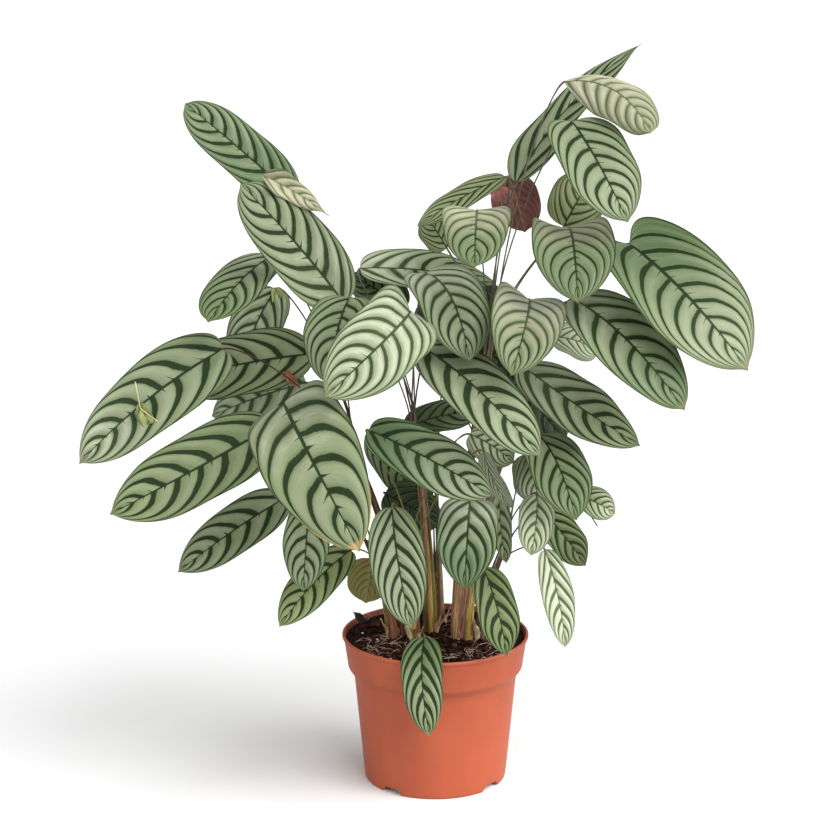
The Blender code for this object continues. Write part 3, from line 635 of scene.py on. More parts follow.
def new_group(name, inputs, outputs):
    """A node group: inputs gives a default for each name, and outputs names the numbers it puts out."""
    tree = bpy.data.node_groups.new(name, "ShaderNodeTree")
    for key, default in inputs.items():
        kind = "NodeSocketVector" if isinstance(default, tuple) else "NodeSocketFloat"
        tree.interface.new_socket(name=key, in_out="INPUT", socket_type=kind).default_value = default
    for key in outputs:
        tree.interface.new_socket(name=key, in_out="OUTPUT", socket_type="NodeSocketFloat")
    entry = tree.nodes.new("NodeGroupInput")
    return tree, {key: Field(tree, entry.outputs[key]) for key in inputs}, tree.nodes.new("NodeGroupOutput").inputs


def use_group(group, inputs):
    """The numbers that a node group puts out for the given inputs, by name."""
    node = derived("ShaderNodeGroup", 0, inputs, node_tree=group).socket.node
    return {socket.name: Field(node.id_data, socket) for socket in node.outputs}


def fibre_pattern():
    """Long fibres that follow a piece's map, and blotches that lie in its space."""
    flat, even = (0.0, 0.0, 0.0), (1.0, 1.0, 1.0)
    tree, given, result = new_group(
        "Fibres",
        {"Map": flat, "Place": flat, "Fibre Scale": 8.0, "Fibre Stretch": even,
         "Blotch Scale": 140.0, "Blotch Stretch": even},
        ("Fibre", "Blotch"))
    feed(result["Fibre"], speckle(given["Map"], given["Fibre Scale"], 3.0, 0.6, given["Fibre Stretch"]))
    feed(result["Blotch"], speckle(given["Place"], given["Blotch Scale"], 3.0, 0.6, given["Blotch Stretch"]))
    return tree


def fibres(tree, group, scale, stretch, blotch_scale, blotch_stretch=(1.0, 1.0, 1.0)):
    """The fibres and the blotches of a stem or a husk."""
    fields = use_group(group, {
        "Map": surface_map(tree), "Place": solid_place(tree), "Fibre Scale": scale, "Fibre Stretch": stretch,
        "Blotch Scale": blotch_scale, "Blotch Stretch": blotch_stretch})
    return fields["Fibre"], fields["Blotch"]


def crumb_pattern():
    """Noise of two sizes for crumbly matter: the fine one, and a shade made of 65% coarse and 35% fine."""
    tree, given, result = new_group("Crumbs", {"Place": (0.0, 0.0, 0.0), "Scale": 100.0}, ("Shade", "Fine"))
    fine = speckle(given["Place"], given["Scale"] * 5.0, 3.0, 0.6)
    feed(result["Shade"], speckle(given["Place"], given["Scale"], 4.0, 0.65) * 0.65 + fine * 0.35)
    feed(result["Fine"], fine)
    return tree


# ---------------------------------------------------------------- the leaf's pattern

def band_place(along, across, slope, steep):
    """Where a point lies in the row of bands, from 0 at the foot to 1 at the tip.

    It is (u + 0.65 u^2) / 1.65, so that bands stand closer near the tip, less slope ((steep + 1.3 u^5) a +
    0.95 a^3), so that they sweep towards the tip on their way to the edge, and most of all at the tip.
    """
    lean = steep + 1.3 * along**5
    return (along + 0.65 * along**2) / 1.65 - slope * (lean * across + 0.95 * across**3)


def band_pattern():
    """Dark bands that leave the midrib on both sides by turns and sweep to the tip.

    The phase is count times the place of band_place, and nearly half a band more on the right; a band lies
    where it is half way between whole numbers. Tufts are short feathers half way between two bands.
    """
    tree, given, result = new_group(
        "Leaf bands",
        {"Map": (0.0, 0.0, 0.0), "Count": 8.0, "Slope": 0.25, "Seed": 0.0, "Steep": 0.5, "Wide": 1.0},
        ("Bands", "Rib", "Tufts", "Edge", "Streaks", "Panel", "Painted Pleat Light", "Ridge"))
    along, side, _ = parts_of(given["Map"])
    signed = side * 2.0 - 1.0
    across = abs(signed)
    right = calc("GREATER_THAN", signed, 0.0)
    place = vector_of(along, side, given["Seed"])
    wander = speckle(place, 2.6) - 0.5
    lean = along**5.0 * 1.3 + given["Steep"]
    bow = lean * across + across**3.0 * 0.95 + across**18.0 * 0.4
    closer = (along * along * 0.65 + along) / 1.65
    phase = given["Count"] * (closer - given["Slope"] * bow) + right * 0.45 + wander * 0.42
    cell = calc("FLOOR", phase)
    off = calc("FRACT", phase) - 0.5
    distance = abs(off)
    near = calc("POWER", 2.718, across * -20.0)
    belly = calc("SINE", across * 3.1) * 0.046 + 0.088
    width = (near * 0.04 + belly) * given["Wide"] * rise(along, 0.78, 1.0, 1.0, 0.75)
    ragged = (speckle(place, 34.0) - 0.5) * 0.05
    mask = rise(width - distance + ragged, -0.026, 0.026)
    feed(result["Bands"], mask * calc("GREATER_THAN", cell, -1.5) * rise(along, 0.998, 0.97))
    feed(result["Rib"], rise(rise(along, 0.0, 1.0, 0.044, 0.022) - across, -0.012, 0.012))
    other = abs(calc("FRACT", phase + 0.5) - 0.5)
    chance = speckle(vector_of(cell, right, given["Seed"]), 3.7, 0.0)
    thin = (1.0 - across / rise(chance, 0.40, 0.66, 0.03, 0.24)) * 0.075
    feed(result["Tufts"], rise(thin - other + ragged, -0.02, 0.03) * rise(along, 0.05, 0.15))
    feed(result["Edge"], rise(across, 0.945, 0.985))
    feed(result["Streaks"], speckle(vector_of(phase, across * 0.25, given["Seed"]), 22.0, 3.0, 0.65))
    # Panel: paler half way between two bands than beside them. The leaf top reads it for its greener fringe and, in
    # part, as painted pleat shade.
    feed(result["Panel"], rise(distance, 0.12, 0.5))
    # Painted pleat light: one side of each panel between two bands comes out lighter and the other darker, as if the
    # pleats were lit from the side.
    feed(result["Painted Pleat Light"], calc("SINE", off * math.tau) * 0.5)
    feed(result["Ridge"], calc("COSINE", off * math.tau) * -0.5 + 0.5)
    return tree


def blade_fields(tree, pattern):
    """What both faces of a blade read: shares along and across, a place for clouds, and the band pattern."""
    given = surface_map(tree)
    along, side, _ = parts_of(given)
    count, slope, seed = parts_of(attribute(tree, "leaf_bands"))
    steep, wide, _ = parts_of(attribute(tree, "leaf_form"))
    inputs = {"Map": given, "Count": count, "Slope": slope, "Seed": seed, "Steep": steep, "Wide": wide}
    return along, abs(side * 2.0 - 1.0), vector_of(along, side, seed), use_group(pattern, inputs)


def leaf_top_material(pattern):
    """The upper side: pale ground, dark bands, tufts and midrib, a green edge, dry tips and a satin skin."""
    look = settings()
    material, tree, skin = new_material("leaf_top")
    along, across, place, bands = blade_fields(tree, pattern)
    foot_tone_and_painted_light, tip_tone_and_painted_light, dry = parts_of(attribute(tree, "leaf_tone_and_painted_light"))
    beige, young, _ = parts_of(attribute(tree, "leaf_hue"))
    # Painted light and shade: the paleness runs from the foot's value to the tip's. It holds the light and shade
    # painted onto each leaf as well as the leaf's own paleness.
    blade_tone_and_painted_light = rise(along, 0.1, 0.9) * (tip_tone_and_painted_light - foot_tone_and_painted_light) + foot_tone_and_painted_light
    cloud = speckle(place, 4.0, 3.0) - 0.5
    streak = bands["Streaks"] - 0.5
    # The paleness gets random clouds and streaks, panels paler in the middle (partly the leaf's own, partly painted
    # pleat shade) and the painted pleat light.
    shade = blade_tone_and_painted_light + cloud * 0.34 + streak * 0.38 + (bands["Panel"] - 0.5) * 0.14 + bands["Painted Pleat Light"] * 0.13
    # Painted deep shade: paleness below 0 reaches the near-black ground.
    ground = blend(rise(shade, -0.7, -0.05), look.ground_in_painted_deep_shade, look.ground_dark)
    ground = blend(rise(shade, -0.1, 0.55), ground, look.ground_middle)
    ground = blend(rise(shade, 0.45, 1.1), ground, look.ground_pale)
    ground = blend(beige * rise(shade, 0.0, 0.8, 0.15, 0.6), ground, look.ground_warm)
    ground = blend(young * 0.7, ground, look.young_green)
    fringe = rise(bands["Panel"], 0.25, 0.0, 0.0, 0.48)
    greener = highest(fringe, rise(across, 0.70, 1.0) * 0.40, rise(along, 0.86, 1.0) * 0.35)
    ground = blend(greener, ground, look.edge_green)
    # The bands follow the same paleness, so painted shade darkens them as well.
    dark = blend(rise(beige * 0.5 + blade_tone_and_painted_light, 0.40, 1.15), look.band_dark, look.band_pale)
    dark = blend(streak * 0.5, dark, look.edge_green)
    marks = highest(bands["Bands"], bands["Rib"], bands["Tufts"])
    colour = blend(marks * 0.96, ground, dark)
    colour = blend(bands["Edge"] * 0.75, colour, dark)
    rim = rise(across + cloud * 0.10, 0.935, 0.99)
    tip = rise(along + cloud * 0.25, 0.74, 0.94)
    colour = blend(dry * highest(rim * tip, rise(along, 0.965, 0.992) * 0.8), colour, look.dry_edge)
    grain = speckle(solid_place(tree), 900.0)
    roughness = rise(grain + cloud * 0.5, 0.2, 0.9, 0.34, 0.54) + marks * 0.30
    height = bands["Streaks"] * 0.8 + grain * 0.25 - bands["Rib"] * 0.4 + bands["Ridge"] * 1.9 + across * 10.0
    set_skin(skin, colour, roughness, bumped(height, 0.00035, 0.7), 0.25)
    return material


def leaf_underside_material(pattern):
    """The underside: matt wine red or olive, with the bands as faint darker marks and a raised pale midrib.

    Only the camera sees the red: other rays meet green, which stands for the light that the blade lets through.
    """
    look = settings()
    material, tree, skin = new_material("leaf_underside")
    _, across, place, bands = blade_fields(tree, pattern)
    green = parts_of(attribute(tree, "leaf_hue"))[2]
    cloud = speckle(place, 5.0, 3.0)
    streak = bands["Streaks"]
    red, olive = look.underside_red, look.underside_green
    body = blend(rise(green + (cloud - 0.5) * 0.5, 0.1, 0.95), red, olive)
    body = blend(rise(streak, 0.35, 0.8) * 0.35, body, [value * 1.7 + 0.03 for value in red])
    body = blend(bands["Bands"] * 0.55, body, [value * 0.40 for value in red])
    body = blend(bands["Rib"] * 0.7, body, olive)
    body = blend(bands["Edge"] * 0.6, body, look.edge_green)
    colour = blend(camera_ray(tree), look.glow_green, body)
    set_skin(skin, colour, rise(cloud, 0.2, 0.8, 0.48, 0.62), bumped(streak + across * 0.1, 0.0004, 0.6), 0.38)
    return material


# ---------------------------------------------------------------- leaves

def blade_outline(along, point):
    """Half width, from 0 to 1: (1 - |2 along^0.92 - 1|^2.5)^p, where p grows towards a pointed tip."""
    power = 0.48 + (point - 0.48) * np.clip((along - 0.3) / 0.5, 0.0, 1.0)
    return np.maximum(0.0, 1.0 - np.abs(2.0 * along**0.92 - 1.0) ** 2.5) ** power


def blade_middle(leaf):
    """The control point of the blade's midrib and its facing, as a unit vector."""
    foot, tip = np.array(leaf[0], float), np.array(leaf[1], float)
    way = unit(tip - foot)
    facing = unit(np.array(leaf[5], float))
    up = unit(facing - np.dot(facing, way) * way)
    right = np.cross(way, up)
    return (foot + tip) / 2.0 + up * 2.0 * leaf[3] + right * 2.0 * leaf[4], up


def blade_shares(rows, columns):
    """Shares along, closer at both ends, and across from -1 to 1, closer at the midrib."""
    straight = np.linspace(0.0, 1.0, rows)
    along = 0.45 * straight + 0.55 * (0.5 - 0.5 * np.cos(math.pi * straight))
    even = np.linspace(-1.0, 1.0, columns)
    return along, np.sign(even) * np.abs(even) ** 1.35


def blade_surface(leaf, look, along, across, seed):
    """The blade's middle surface in millimetres, on a grid of shares along and across.

    The midrib is the curve foot, middle, tip. A point stands off it by across times the half width, lifts
    by across squared, is pleated along the bands and waves at its edge. The shoulders swell near the foot,
    the lobes reach back past it, and the tip is drawn out into a short point.
    """
    width, (foot_lift, tip_lift), point = leaf[2], leaf[6], leaf[7]
    ripple = look["ripple"]
    foot, tip = np.array(leaf[0], float), np.array(leaf[1], float)
    middle, up = blade_middle(leaf)
    spine = bend(foot, middle, tip, along)
    heading = unit((1.0 - along)[:, None] * (middle - foot) + along[:, None] * (tip - middle))
    normal = unit(up - (heading @ up)[:, None] * heading)
    side = np.cross(heading, normal)
    draw = np.random.default_rng(seed)
    wobble = 1.0 + 0.03 * np.sin(math.tau * (along * draw.uniform(1.0, 2.0) + draw.uniform()))
    wobble = wobble * (1.0 + look["shoulder"] * np.exp(-(((along - 0.17) / 0.17) ** 2)))
    half = np.maximum(width / 2.0 * blade_outline(along, point) * wobble, 0.35)
    drip = step(0.982, 1.0, along)
    half = np.maximum(half * (1.0 - 0.7 * drip), 0.25)
    spine = spine + heading * (drip * width * 0.035)[:, None]
    v = across[None, :]
    u = along[:, None]
    reach = np.abs(v)
    lift = foot_lift + (tip_lift - foot_lift) * u
    phase = look["count"] * band_place(u, reach, band_slope(leaf), look["steep"]) + 0.45 * (v > 0)
    pleat = 0.7 * ripple * np.cos(math.tau * phase) * reach**0.8 * (1.0 - reach**5) * (half / (width / 2.0))[:, None]
    swell = draw.uniform(0.5, 1.1) * ripple * reach**3
    swell = swell * np.sin(math.tau * (u * draw.uniform(1.6, 2.8) + draw.uniform()))
    swell = swell * np.where(v > 0, 1.0, draw.uniform(-1.0, 1.0))
    furrow = -0.45 * np.exp(-((v * half[:, None]) / 1.6) ** 2)
    height = lift * half[:, None] * v * v + pleat + swell + furrow
    back = 0.9 * look["lobe"] * half[:, None] * reach**1.5 * (1.0 - u) ** 5
    return (spine[:, None, :] + side[:, None, :] * (v * half[:, None])[..., None]
            + normal[:, None, :] * height[..., None] - heading[:, None, :] * back[..., None])


def band_slope(leaf):
    """A blade's half width as a share of its length."""
    return leaf[2] / 2.0 / np.linalg.norm(np.array(leaf[1], float) - np.array(leaf[0], float))


def blade_shell(surface, thickness, across, half_share):
    """Both faces of a blade as closed rings: the surface moved out by half its thickness to each side.

    The underside is thicker along the midrib, by 0.9 mm exp(-(across / 0.05)^2) that fades to the tip.
    """
    rows = surface.shape[0]
    normals = unit(np.cross(np.gradient(surface, axis=1), np.gradient(surface, axis=0)))
    edge = np.clip(1.0 - np.abs(across) ** 10, 0.15, 1.0)[None, :]
    top = surface + normals * (thickness / 2.0 * edge)[..., None]
    rib = 0.9 * np.exp(-((across / 0.05) ** 2))[None, :] * np.linspace(1.0, 0.2, rows)[:, None] * half_share
    bottom = surface - normals * (thickness / 2.0 * edge + rib)[..., None]
    return np.concatenate([top, bottom[:, ::-1]], axis=1)


def make_blade(name, leaf, finish_row, seed, materials, rows, columns):
    """One blade: its shell, its map and what its pattern needs."""
    look = LOOK_DEFAULTS | dict(zip(LOOK_KEYS, finish_row))
    along, across = blade_shares(rows, columns)
    surface = blade_surface(leaf, look, along, across, seed)
    shell = blade_shell(surface, settings().leaf_thickness / MM, across, np.clip(leaf[2] / 60.0, 0.4, 1.0))
    ring = 2 * columns
    quads = ring_quads(rows, ring)
    left, right = np.arange(columns - 1), np.arange(1, columns)
    under_left, under_right = ring - 1 - left, ring - 1 - right
    foot_cap = np.stack([left, under_left, under_right, right], axis=-1)
    tip_cap = np.stack([right, under_right, under_left, left], axis=-1) + (rows - 1) * ring
    faces = np.concatenate([quads, foot_cap, tip_cap])
    column = quads[:, 0] % ring
    under = np.concatenate([(column >= columns) & (column < ring - 1), np.zeros(2 * (columns - 1), bool)])
    shares = np.concatenate([across, across[::-1]])
    uv = np.stack(np.broadcast_arrays(along[:, None], shares[None, :] * 0.5 + 0.5), axis=-1).reshape(-1, 2)
    vectors = {
        "leaf_bands": (look["count"], band_slope(leaf), seed * 1.7),
        # Paleness at the foot and the tip, with their painted light and shade, and the dry edge.
        "leaf_tone_and_painted_light": (look["foot_tone_and_painted_light"], look["tip_tone_and_painted_light"], look["dry"]),
        "leaf_hue": (look["beige"], look["young"], look["green"]),
        "leaf_form": (look["steep"], look["wide"], 0.0),
    }
    vectors = {key: np.tile(value, (rows * ring, 1)) for key, value in vectors.items()}
    piece = new_piece(name, shell.reshape(-1, 3), faces.tolist(), materials, "leaf_blade", uv, vectors, under)
    piece.data.set_sharp_from_angle(angle=math.radians(55.0))
    return piece


class GrowLeaves(bpy.types.Operator):
    """Grow every blade with its bands, pleats and wine-red underside"""

    bl_idname = "ctenanthe.leaves"
    bl_label = "Leaves"

    def execute(self, context):
        sizes = settings()
        pattern = band_pattern()
        materials = (leaf_top_material(pattern), leaf_underside_material(pattern))
        seed = 0
        for shoot, (_, _, _, leaves) in SHOOTS.items():
            for number, (leaf, look) in enumerate(zip(leaves, LEAF_LOOKS[shoot], strict=True), 1):
                seed += 1
                piece = make_blade(f"blade_{shoot}_{number}", leaf, look, seed, materials,
                                   sizes.blade_rows, sizes.blade_columns + 1)
                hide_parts(f"leaf_{shoot}_{number}")
        return {"FINISHED"}


# ---------------------------------------------------------------- shoots

def cane_points(shoot, shares):
    """The cane rises straight out of the mix, then leans over to its fork."""
    (foot_x, foot_y), fork, _, _ = shoot
    start = np.array((foot_x, foot_y, SOIL_TOP - SOCKET_DEPTH))
    end = np.array(fork, float)
    middle = np.array((foot_x, foot_y, 0.55 * end[2] + 0.45 * start[2]))
    return bend(start, middle, end, shares)


def cane_radii(shoot, shares):
    """The cane thins evenly from its foot to its fork."""
    foot_radius, fork_radius = shoot[2]
    return foot_radius + (fork_radius - foot_radius) * shares


def stalk_path(shoot, leaf, number):
    """A sheath that climbs the cane's side, and the stalk that leaves it for the blade's foot.

    The stalk is a cubic curve: the cane's side, a point above it, a point behind the blade, and the foot.
    """
    fork_height = shoot[1][2]
    target = np.array(leaf[0], float)
    part = min(0.97, max(0.3, 0.75 * (target[2] - SOIL_TOP) / (fork_height - SOIL_TOP)))
    climb = np.linspace(0.0, part, CLIMB_ROWS)
    turn = number * GOLDEN_ANGLE
    stand = cane_radii(shoot, climb) * (0.85 + 0.4 * climb)
    hug = cane_points(shoot, climb)
    hug[:, 0] += np.cos(turn) * stand
    hug[:, 1] += np.sin(turn) * stand
    start = hug[-1]
    heading = unit(blade_middle(leaf)[0] - target)
    elbow = target - heading * min(15.0, 0.2 * np.linalg.norm(target - start))
    lift = start + (target - start) * np.array((0.15, 0.15, 0.55))
    shares = np.linspace(0.0, 1.0, FREE_ROWS + 1)[1:, None]
    free = (1.0 - shares) * bend(start, lift, elbow, shares[:, 0]) + shares * bend(lift, elbow, target, shares[:, 0])
    path = np.concatenate([hug, free, (target + heading * 2.0)[None]])
    for _ in range(STALK_SMOOTHINGS):
        path[1:-2] = 0.25 * path[:-3] + 0.5 * path[1:-2] + 0.25 * path[2:-1]
    return path


def stalk_radii(path):
    """Thick where it sheathes the cane, thin above, and swollen for the last centimetre before the blade."""
    sizes = settings()
    sheath, stalk = sizes.sheath_radius / MM, sizes.stalk_radius / MM
    lengths = np.concatenate([[0.0], np.cumsum(np.linalg.norm(np.diff(path, axis=0), axis=1))])
    to_go = lengths[-1] - lengths
    leaving = lengths[CLIMB_ROWS - 1]
    radii = sheath + (stalk - sheath) * step(leaving * 0.10, leaving * 0.75 + 1.0, lengths)
    return radii * (1.0 + 0.35 * step(16.0, 9.0, to_go) * step(0.0, 4.0, to_go))


def make_shoot(name, shoot, material):
    """A cane with a sheath and a stalk for each of its leaves, in one mesh."""
    cane_tint, sheath_tints, stalk_tint = SHOOT_TINTS[name]
    shares = np.linspace(0.0, 1.0, CANE_ROWS)
    radii = cane_radii(shoot, shares) * (1.0 + 0.05 * np.sin(math.tau * shares * 6.0))
    radii = radii * (1.0 - 0.45 * step(0.25, 0.8, shares))
    radii[-1] *= 0.4
    points, all_faces = tubes(cane_points(shoot, shares)[None], radii[None], CANE_SIDES)
    tints = [np.tile(STEM_TINTS[cane_tint], (len(points), 1))]
    maps = [tube_map(CANE_ROWS, CANE_SIDES, shares * 40.0)]
    all_points = [points]
    for number, leaf in enumerate(shoot[3], 1):
        path = stalk_path(shoot, leaf, number)
        start = sum(len(part) for part in all_points)
        points, faces = tubes(path[None], stalk_radii(path)[None], STALK_SIDES)
        all_faces += [[start + corner for corner in face] for face in faces]
        all_points.append(points)
        rows = len(path)
        low = np.array(STEM_TINTS[sheath_tints[number % len(sheath_tints)]])
        high = np.array(STEM_TINTS[stalk_tint])
        fade = step(8.0, 34.0, np.arange(rows))[:, None]
        tints.append(np.repeat(low + (high - low) * fade, STALK_SIDES, axis=0))
        maps.append(tube_map(rows, STALK_SIDES, np.linspace(0.0, 50.0, rows) + number))
    piece = new_piece(f"stems_{name}", np.concatenate(all_points), all_faces, (material,), "stem",
                      np.concatenate(maps), {"stem_tint": np.concatenate(tints)})
    piece.data.set_sharp_from_angle(angle=math.radians(60.0))
    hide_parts(f"shoot_{name}")


def stem_material(pattern):
    """Stem skin: its tint, with fine streaks along it, darker blotches that are partly painted shade, and a soft
    shine.
    """
    material, tree, skin = new_material("stem_skin")
    own = attribute(tree, "stem_tint")
    streak, blotch = fibres(tree, pattern, 6.0, (3.0, 0.12, 1.0), 60.0, (1.0, 1.0, 0.35))
    # The dark copy is partly the stems' own darker colour and partly painted shade for the gaps between the stems.
    dark = blend(1.0, own, (0.27, 0.20, 0.18), "MULTIPLY")
    light = blend(1.0, own, (1.35, 1.35, 1.35), "MULTIPLY")
    colour = blend(rise(streak * 0.9 + blotch * 0.5, 0.52, 0.86, 0.0, 0.75), dark, light)
    set_skin(skin, colour, rise(blotch, 0.3, 0.7, 0.38, 0.55), bumped(streak, 0.0004, 0.6), 0.3)
    return material


class GrowShoots(bpy.types.Operator):
    """Grow the canes with their sheaths and leaf stalks"""

    bl_idname = "ctenanthe.shoots"
    bl_label = "Shoots"

    def execute(self, context):
        material = stem_material(fibre_pattern())
        for name, shoot in SHOOTS.items():
            make_shoot(name, shoot, material)
        return {"FINISHED"}


# ---------------------------------------------------------------- dry pieces

def husk_material(name, pattern, dark, light):
    """Dry papery skin: two tints in long fibres and blotches, rough and creased along."""
    material, tree, skin = new_material(f"husk_{name}")
    fibre, blotch = fibres(tree, pattern, 8.0, (0.35, 3.0, 1.0), 140.0)
    colour = blend(rise(blotch * 0.5 + fibre * 0.6, 0.35, 0.75), dark, light)
    set_skin(skin, colour, rise(blotch, 0.3, 0.7, 0.55, 0.75), bumped(fibre, 0.0006, 0.7), 0.2)
    return material


def bract_leaf(shoot, draw):
    """The values of a short dry bract that stands against a cane's foot and curls away from it."""
    (foot_x, foot_y), _, (radius, _), _ = shoot
    turn = draw.uniform(0.0, math.tau)
    out = np.array((math.cos(turn), math.sin(turn), 0.0))
    foot = np.array((foot_x, foot_y, SOIL_TOP)) + out * (radius + 2.2)
    tip = foot + out * draw.uniform(3.0, 8.0) + np.array((0.0, 0.0, draw.uniform(12.0, 25.0)))
    return (tuple(foot), tuple(tip), draw.uniform(4.0, 7.0), -1.5, draw.uniform(-1.0, 1.0),
            tuple(out), (-0.8, -0.4), 1.5)


class DropLitter(bpy.types.Operator):
    """Add the dry leaf, torn scraps, shaded leaves and their stalks darkened with painted shade, dead stalks and the
    dry bracts round the canes
    """

    bl_idname = "ctenanthe.litter"
    bl_label = "Dry pieces"

    def execute(self, context):
        pattern = bpy.data.node_groups["Fibres"]
        skins = {name: husk_material(name, pattern, *tints) for name, tints in HUSK_TINTS.items()}
        skins["banded"] = skins["living"] = bpy.data.materials["leaf_top"]
        for number, (name, (kind, leaf, look)) in enumerate(LITTER.items(), LITTER_SEED):
            back = bpy.data.materials["leaf_underside"] if kind == "living" else skins[kind]
            make_blade(name, leaf, look, number, (skins[kind], back), *LITTER_GRID)
        shares = np.linspace(0.0, 1.0, TWIG_ROWS)
        for name, (kind, radius, points) in TWIGS.items():
            path = np.stack([np.interp(shares, (0.0, 0.54, 1.0), row) for row in zip(*points)], axis=-1)[None]
            tube, faces = tubes(path, np.full((1, TWIG_ROWS), radius), TWIG_SIDES)
            new_piece(name, tube, faces, (skins[kind],), "stem", tube_map(TWIG_ROWS, TWIG_SIDES, shares * 3.0))
        draw = np.random.default_rng(BRACT_DRAWS)
        plain = LITTER["rim_scrap"][2]
        for name, shoot in SHOOTS.items():
            for number, kind in enumerate(("tan", "straw"), 1):
                make_blade(f"bract_{name}_{number}", bract_leaf(shoot, draw), plain, BRACT_SEED + number,
                           (skins[kind], skins[kind]), *BRACT_GRID)
        return {"FINISHED"}


# ---------------------------------------------------------------- pot

def rounded(profile, steps=5):
    """A (radius, height, rounding) profile whose corners become short curves that start a rounding away."""
    rows = np.array(profile, float)
    spots, roundings = rows[:, :2], rows[:, 2]
    pieces = [spots[:1]]
    for before, corner, after, size in zip(spots[:-2], spots[1:-1], spots[2:], roundings[1:-1]):
        start = corner + unit(before - corner) * size
        end = corner + unit(after - corner) * size
        pieces.append(bend(start, corner, end, np.linspace(0.0, 1.0, steps)))
    return np.concatenate(pieces + [spots[-1:]])


def pot_profile():
    """The inside from the axis, over the lip, down the collar and wall, and in along the foot."""
    shelf = COLLAR_Z + WALL / 2.0
    return rounded([
        (0.0, FLOOR_TOP, 0.0),
        (BASE_RADIUS - WALL - 0.6, FLOOR_TOP, 2.0),
        (WALL_TOP_RADIUS - WALL, shelf - 7.5, 1.5),
        (COLLAR_FOOT_RADIUS - WALL, shelf, 1.5),
        (RIM_RADIUS - 2.5, POT_HEIGHT, 0.9),
        (RIM_RADIUS, POT_HEIGHT, 1.0),
        (RIM_RADIUS, POT_HEIGHT - 2.6, 0.9),
        (83.2, POT_HEIGHT - 4.6, 0.8),
        (COLLAR_FOOT_RADIUS, COLLAR_Z, 1.0),
        (WALL_TOP_RADIUS + 0.6, COLLAR_Z - 6.6, 1.4),
        (WALL_TOP_RADIUS - 0.6, COLLAR_Z - 12.0, 2.0),
        (BASE_RADIUS + 0.9, 10.0, 2.0),
        (BASE_RADIUS + 0.3, 4.6, 0.9),
        (BASE_RADIUS - 0.3, 0.0, 1.9),
        (FOOT_RING_INNER, 0.0, 0.8),
        (FOOT_RING_INNER - 2.0, 3.5, 0.8),
        (32.0, 3.5, 0.8),
        (30.0, 0.0, 0.8),
        (0.0, 0.0, 0.0),
    ])


def notch_height(angles):
    """The foot's height round the pot: raised in short arches with soft corners."""
    turn = NOTCH_TURN - math.pi / 2.0
    spacing = math.tau / NOTCH_COUNT
    off = np.abs((angles - turn + spacing / 2.0) % spacing - spacing / 2.0)
    return NOTCH_HEIGHT * (1.0 - step(NOTCH_HALF_ANGLE * 0.72, NOTCH_HALF_ANGLE * 1.2, off))


def drain_holes(pot):
    """Round holes through the floor, cut by removed cutters."""
    for index in range(NOTCH_COUNT):
        angle = NOTCH_TURN - math.pi / 2.0 + index * math.tau / NOTCH_COUNT
        spot = np.array((math.cos(angle), math.sin(angle), 0.0)) * DRAIN_RING
        path = spot + np.array(((0.0, 0.0, -5.0), (0.0, 0.0, 5.0), (0.0, 0.0, 15.0)))
        points, faces = tubes(path[None], np.full((1, len(path)), DRAIN_RADIUS), DRAIN_SIDES)
        cutter = place_object("drain_cutter", new_mesh("drain_cutter", points, faces))
        pot.modifiers.new("drain", "BOOLEAN").object = cutter
        cut = bpy.data.meshes.new_from_object(pot.evaluated_get(bpy.context.evaluated_depsgraph_get()))
        pot.modifiers.clear()
        pot.data = cut
        bpy.data.objects.remove(cutter)


def pot_material():
    """Moulded terracotta-coloured plastic: faint flow marks, fine grain, scuffs, and mix dusting with painted shade
    inside the rim.
    """
    base = settings().pot_colour
    material, tree, skin = new_material("pot_plastic")
    place = solid_place(tree)
    x, y, z = parts_of(place)
    cloud = speckle(place, 14.0, 3.0)
    flow = speckle(place, 60.0, 2.0, 0.5, (1.0, 1.0, 0.08))
    grain = speckle(place, 1400.0)
    colour = blend(rise(cloud * 0.7 + flow * 0.3, 0.3, 0.7), [value * 0.86 for value in base], base)
    radius = calc("SQRT", x * x + y * y)
    taper = 0.125
    middle = z * taper + ((RIM_RADIUS - 2.0) * MM - taper * POT_HEIGHT * MM)
    inner = rise(radius - middle, 0.0002, -0.0006) * calc("GREATER_THAN", z, (SOIL_TOP - 12.0) * MM)
    # Painted shade with mix dusting: the inner wall above the mix is darkened in patches.
    dust_and_painted_shade = inner * rise(speckle(place, 240.0, 3.0), 0.40, 0.60, 0.35, 0.95)
    scuff = rise(speckle(place, 90.0, 4.0, 0.7), 0.55, 0.75, 0.0, 0.10)
    set_skin(skin, blend(dust_and_painted_shade, colour, (0.10, 0.035, 0.020)), rise(grain, 0.3, 0.7, 0.42, 0.50) + scuff,
             bumped(grain + flow, 0.00012, 0.35), 0.45)
    feed(skin["Sheen Weight"], 0.24)
    feed(skin["Sheen Roughness"], 0.3)
    feed(skin["Sheen Tint"], (1.0, 0.72, 0.58))
    return material


class MouldPot(bpy.types.Operator):
    """Mould the pot with its lip, collar, notched foot and drain holes"""

    bl_idname = "ctenanthe.pot"
    bl_label = "Pot"

    def execute(self, context):
        profile = pot_profile()
        angles = np.arange(POT_SIDES) * math.tau / POT_SIDES
        radii, heights = profile[1:-1, 0], profile[1:-1, 1][:, None]
        arch = notch_height(angles)[None, :]
        in_foot = (radii > FOOT_RING_INNER - 0.5) & (np.arange(len(radii)) > 25)
        raised = np.where(in_foot[:, None] & (heights < NOTCH_REACH),
                          arch + heights * (1.0 - arch / NOTCH_REACH), heights)
        points = ring_points(radii, raised, POT_SIDES).reshape(-1, 3)
        points = np.concatenate([[(0.0, 0.0, profile[0, 1])], points, [(0.0, 0.0, profile[-1, 1])]])
        faces = turned_faces(len(profile), POT_SIDES)
        pot = new_piece("nursery_pot", points, faces, (pot_material(),), "pot_plastic")
        drain_holes(pot)
        pot.data.set_sharp_from_angle(angle=math.radians(38.0))
        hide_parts("pot")
        return {"FINISHED"}


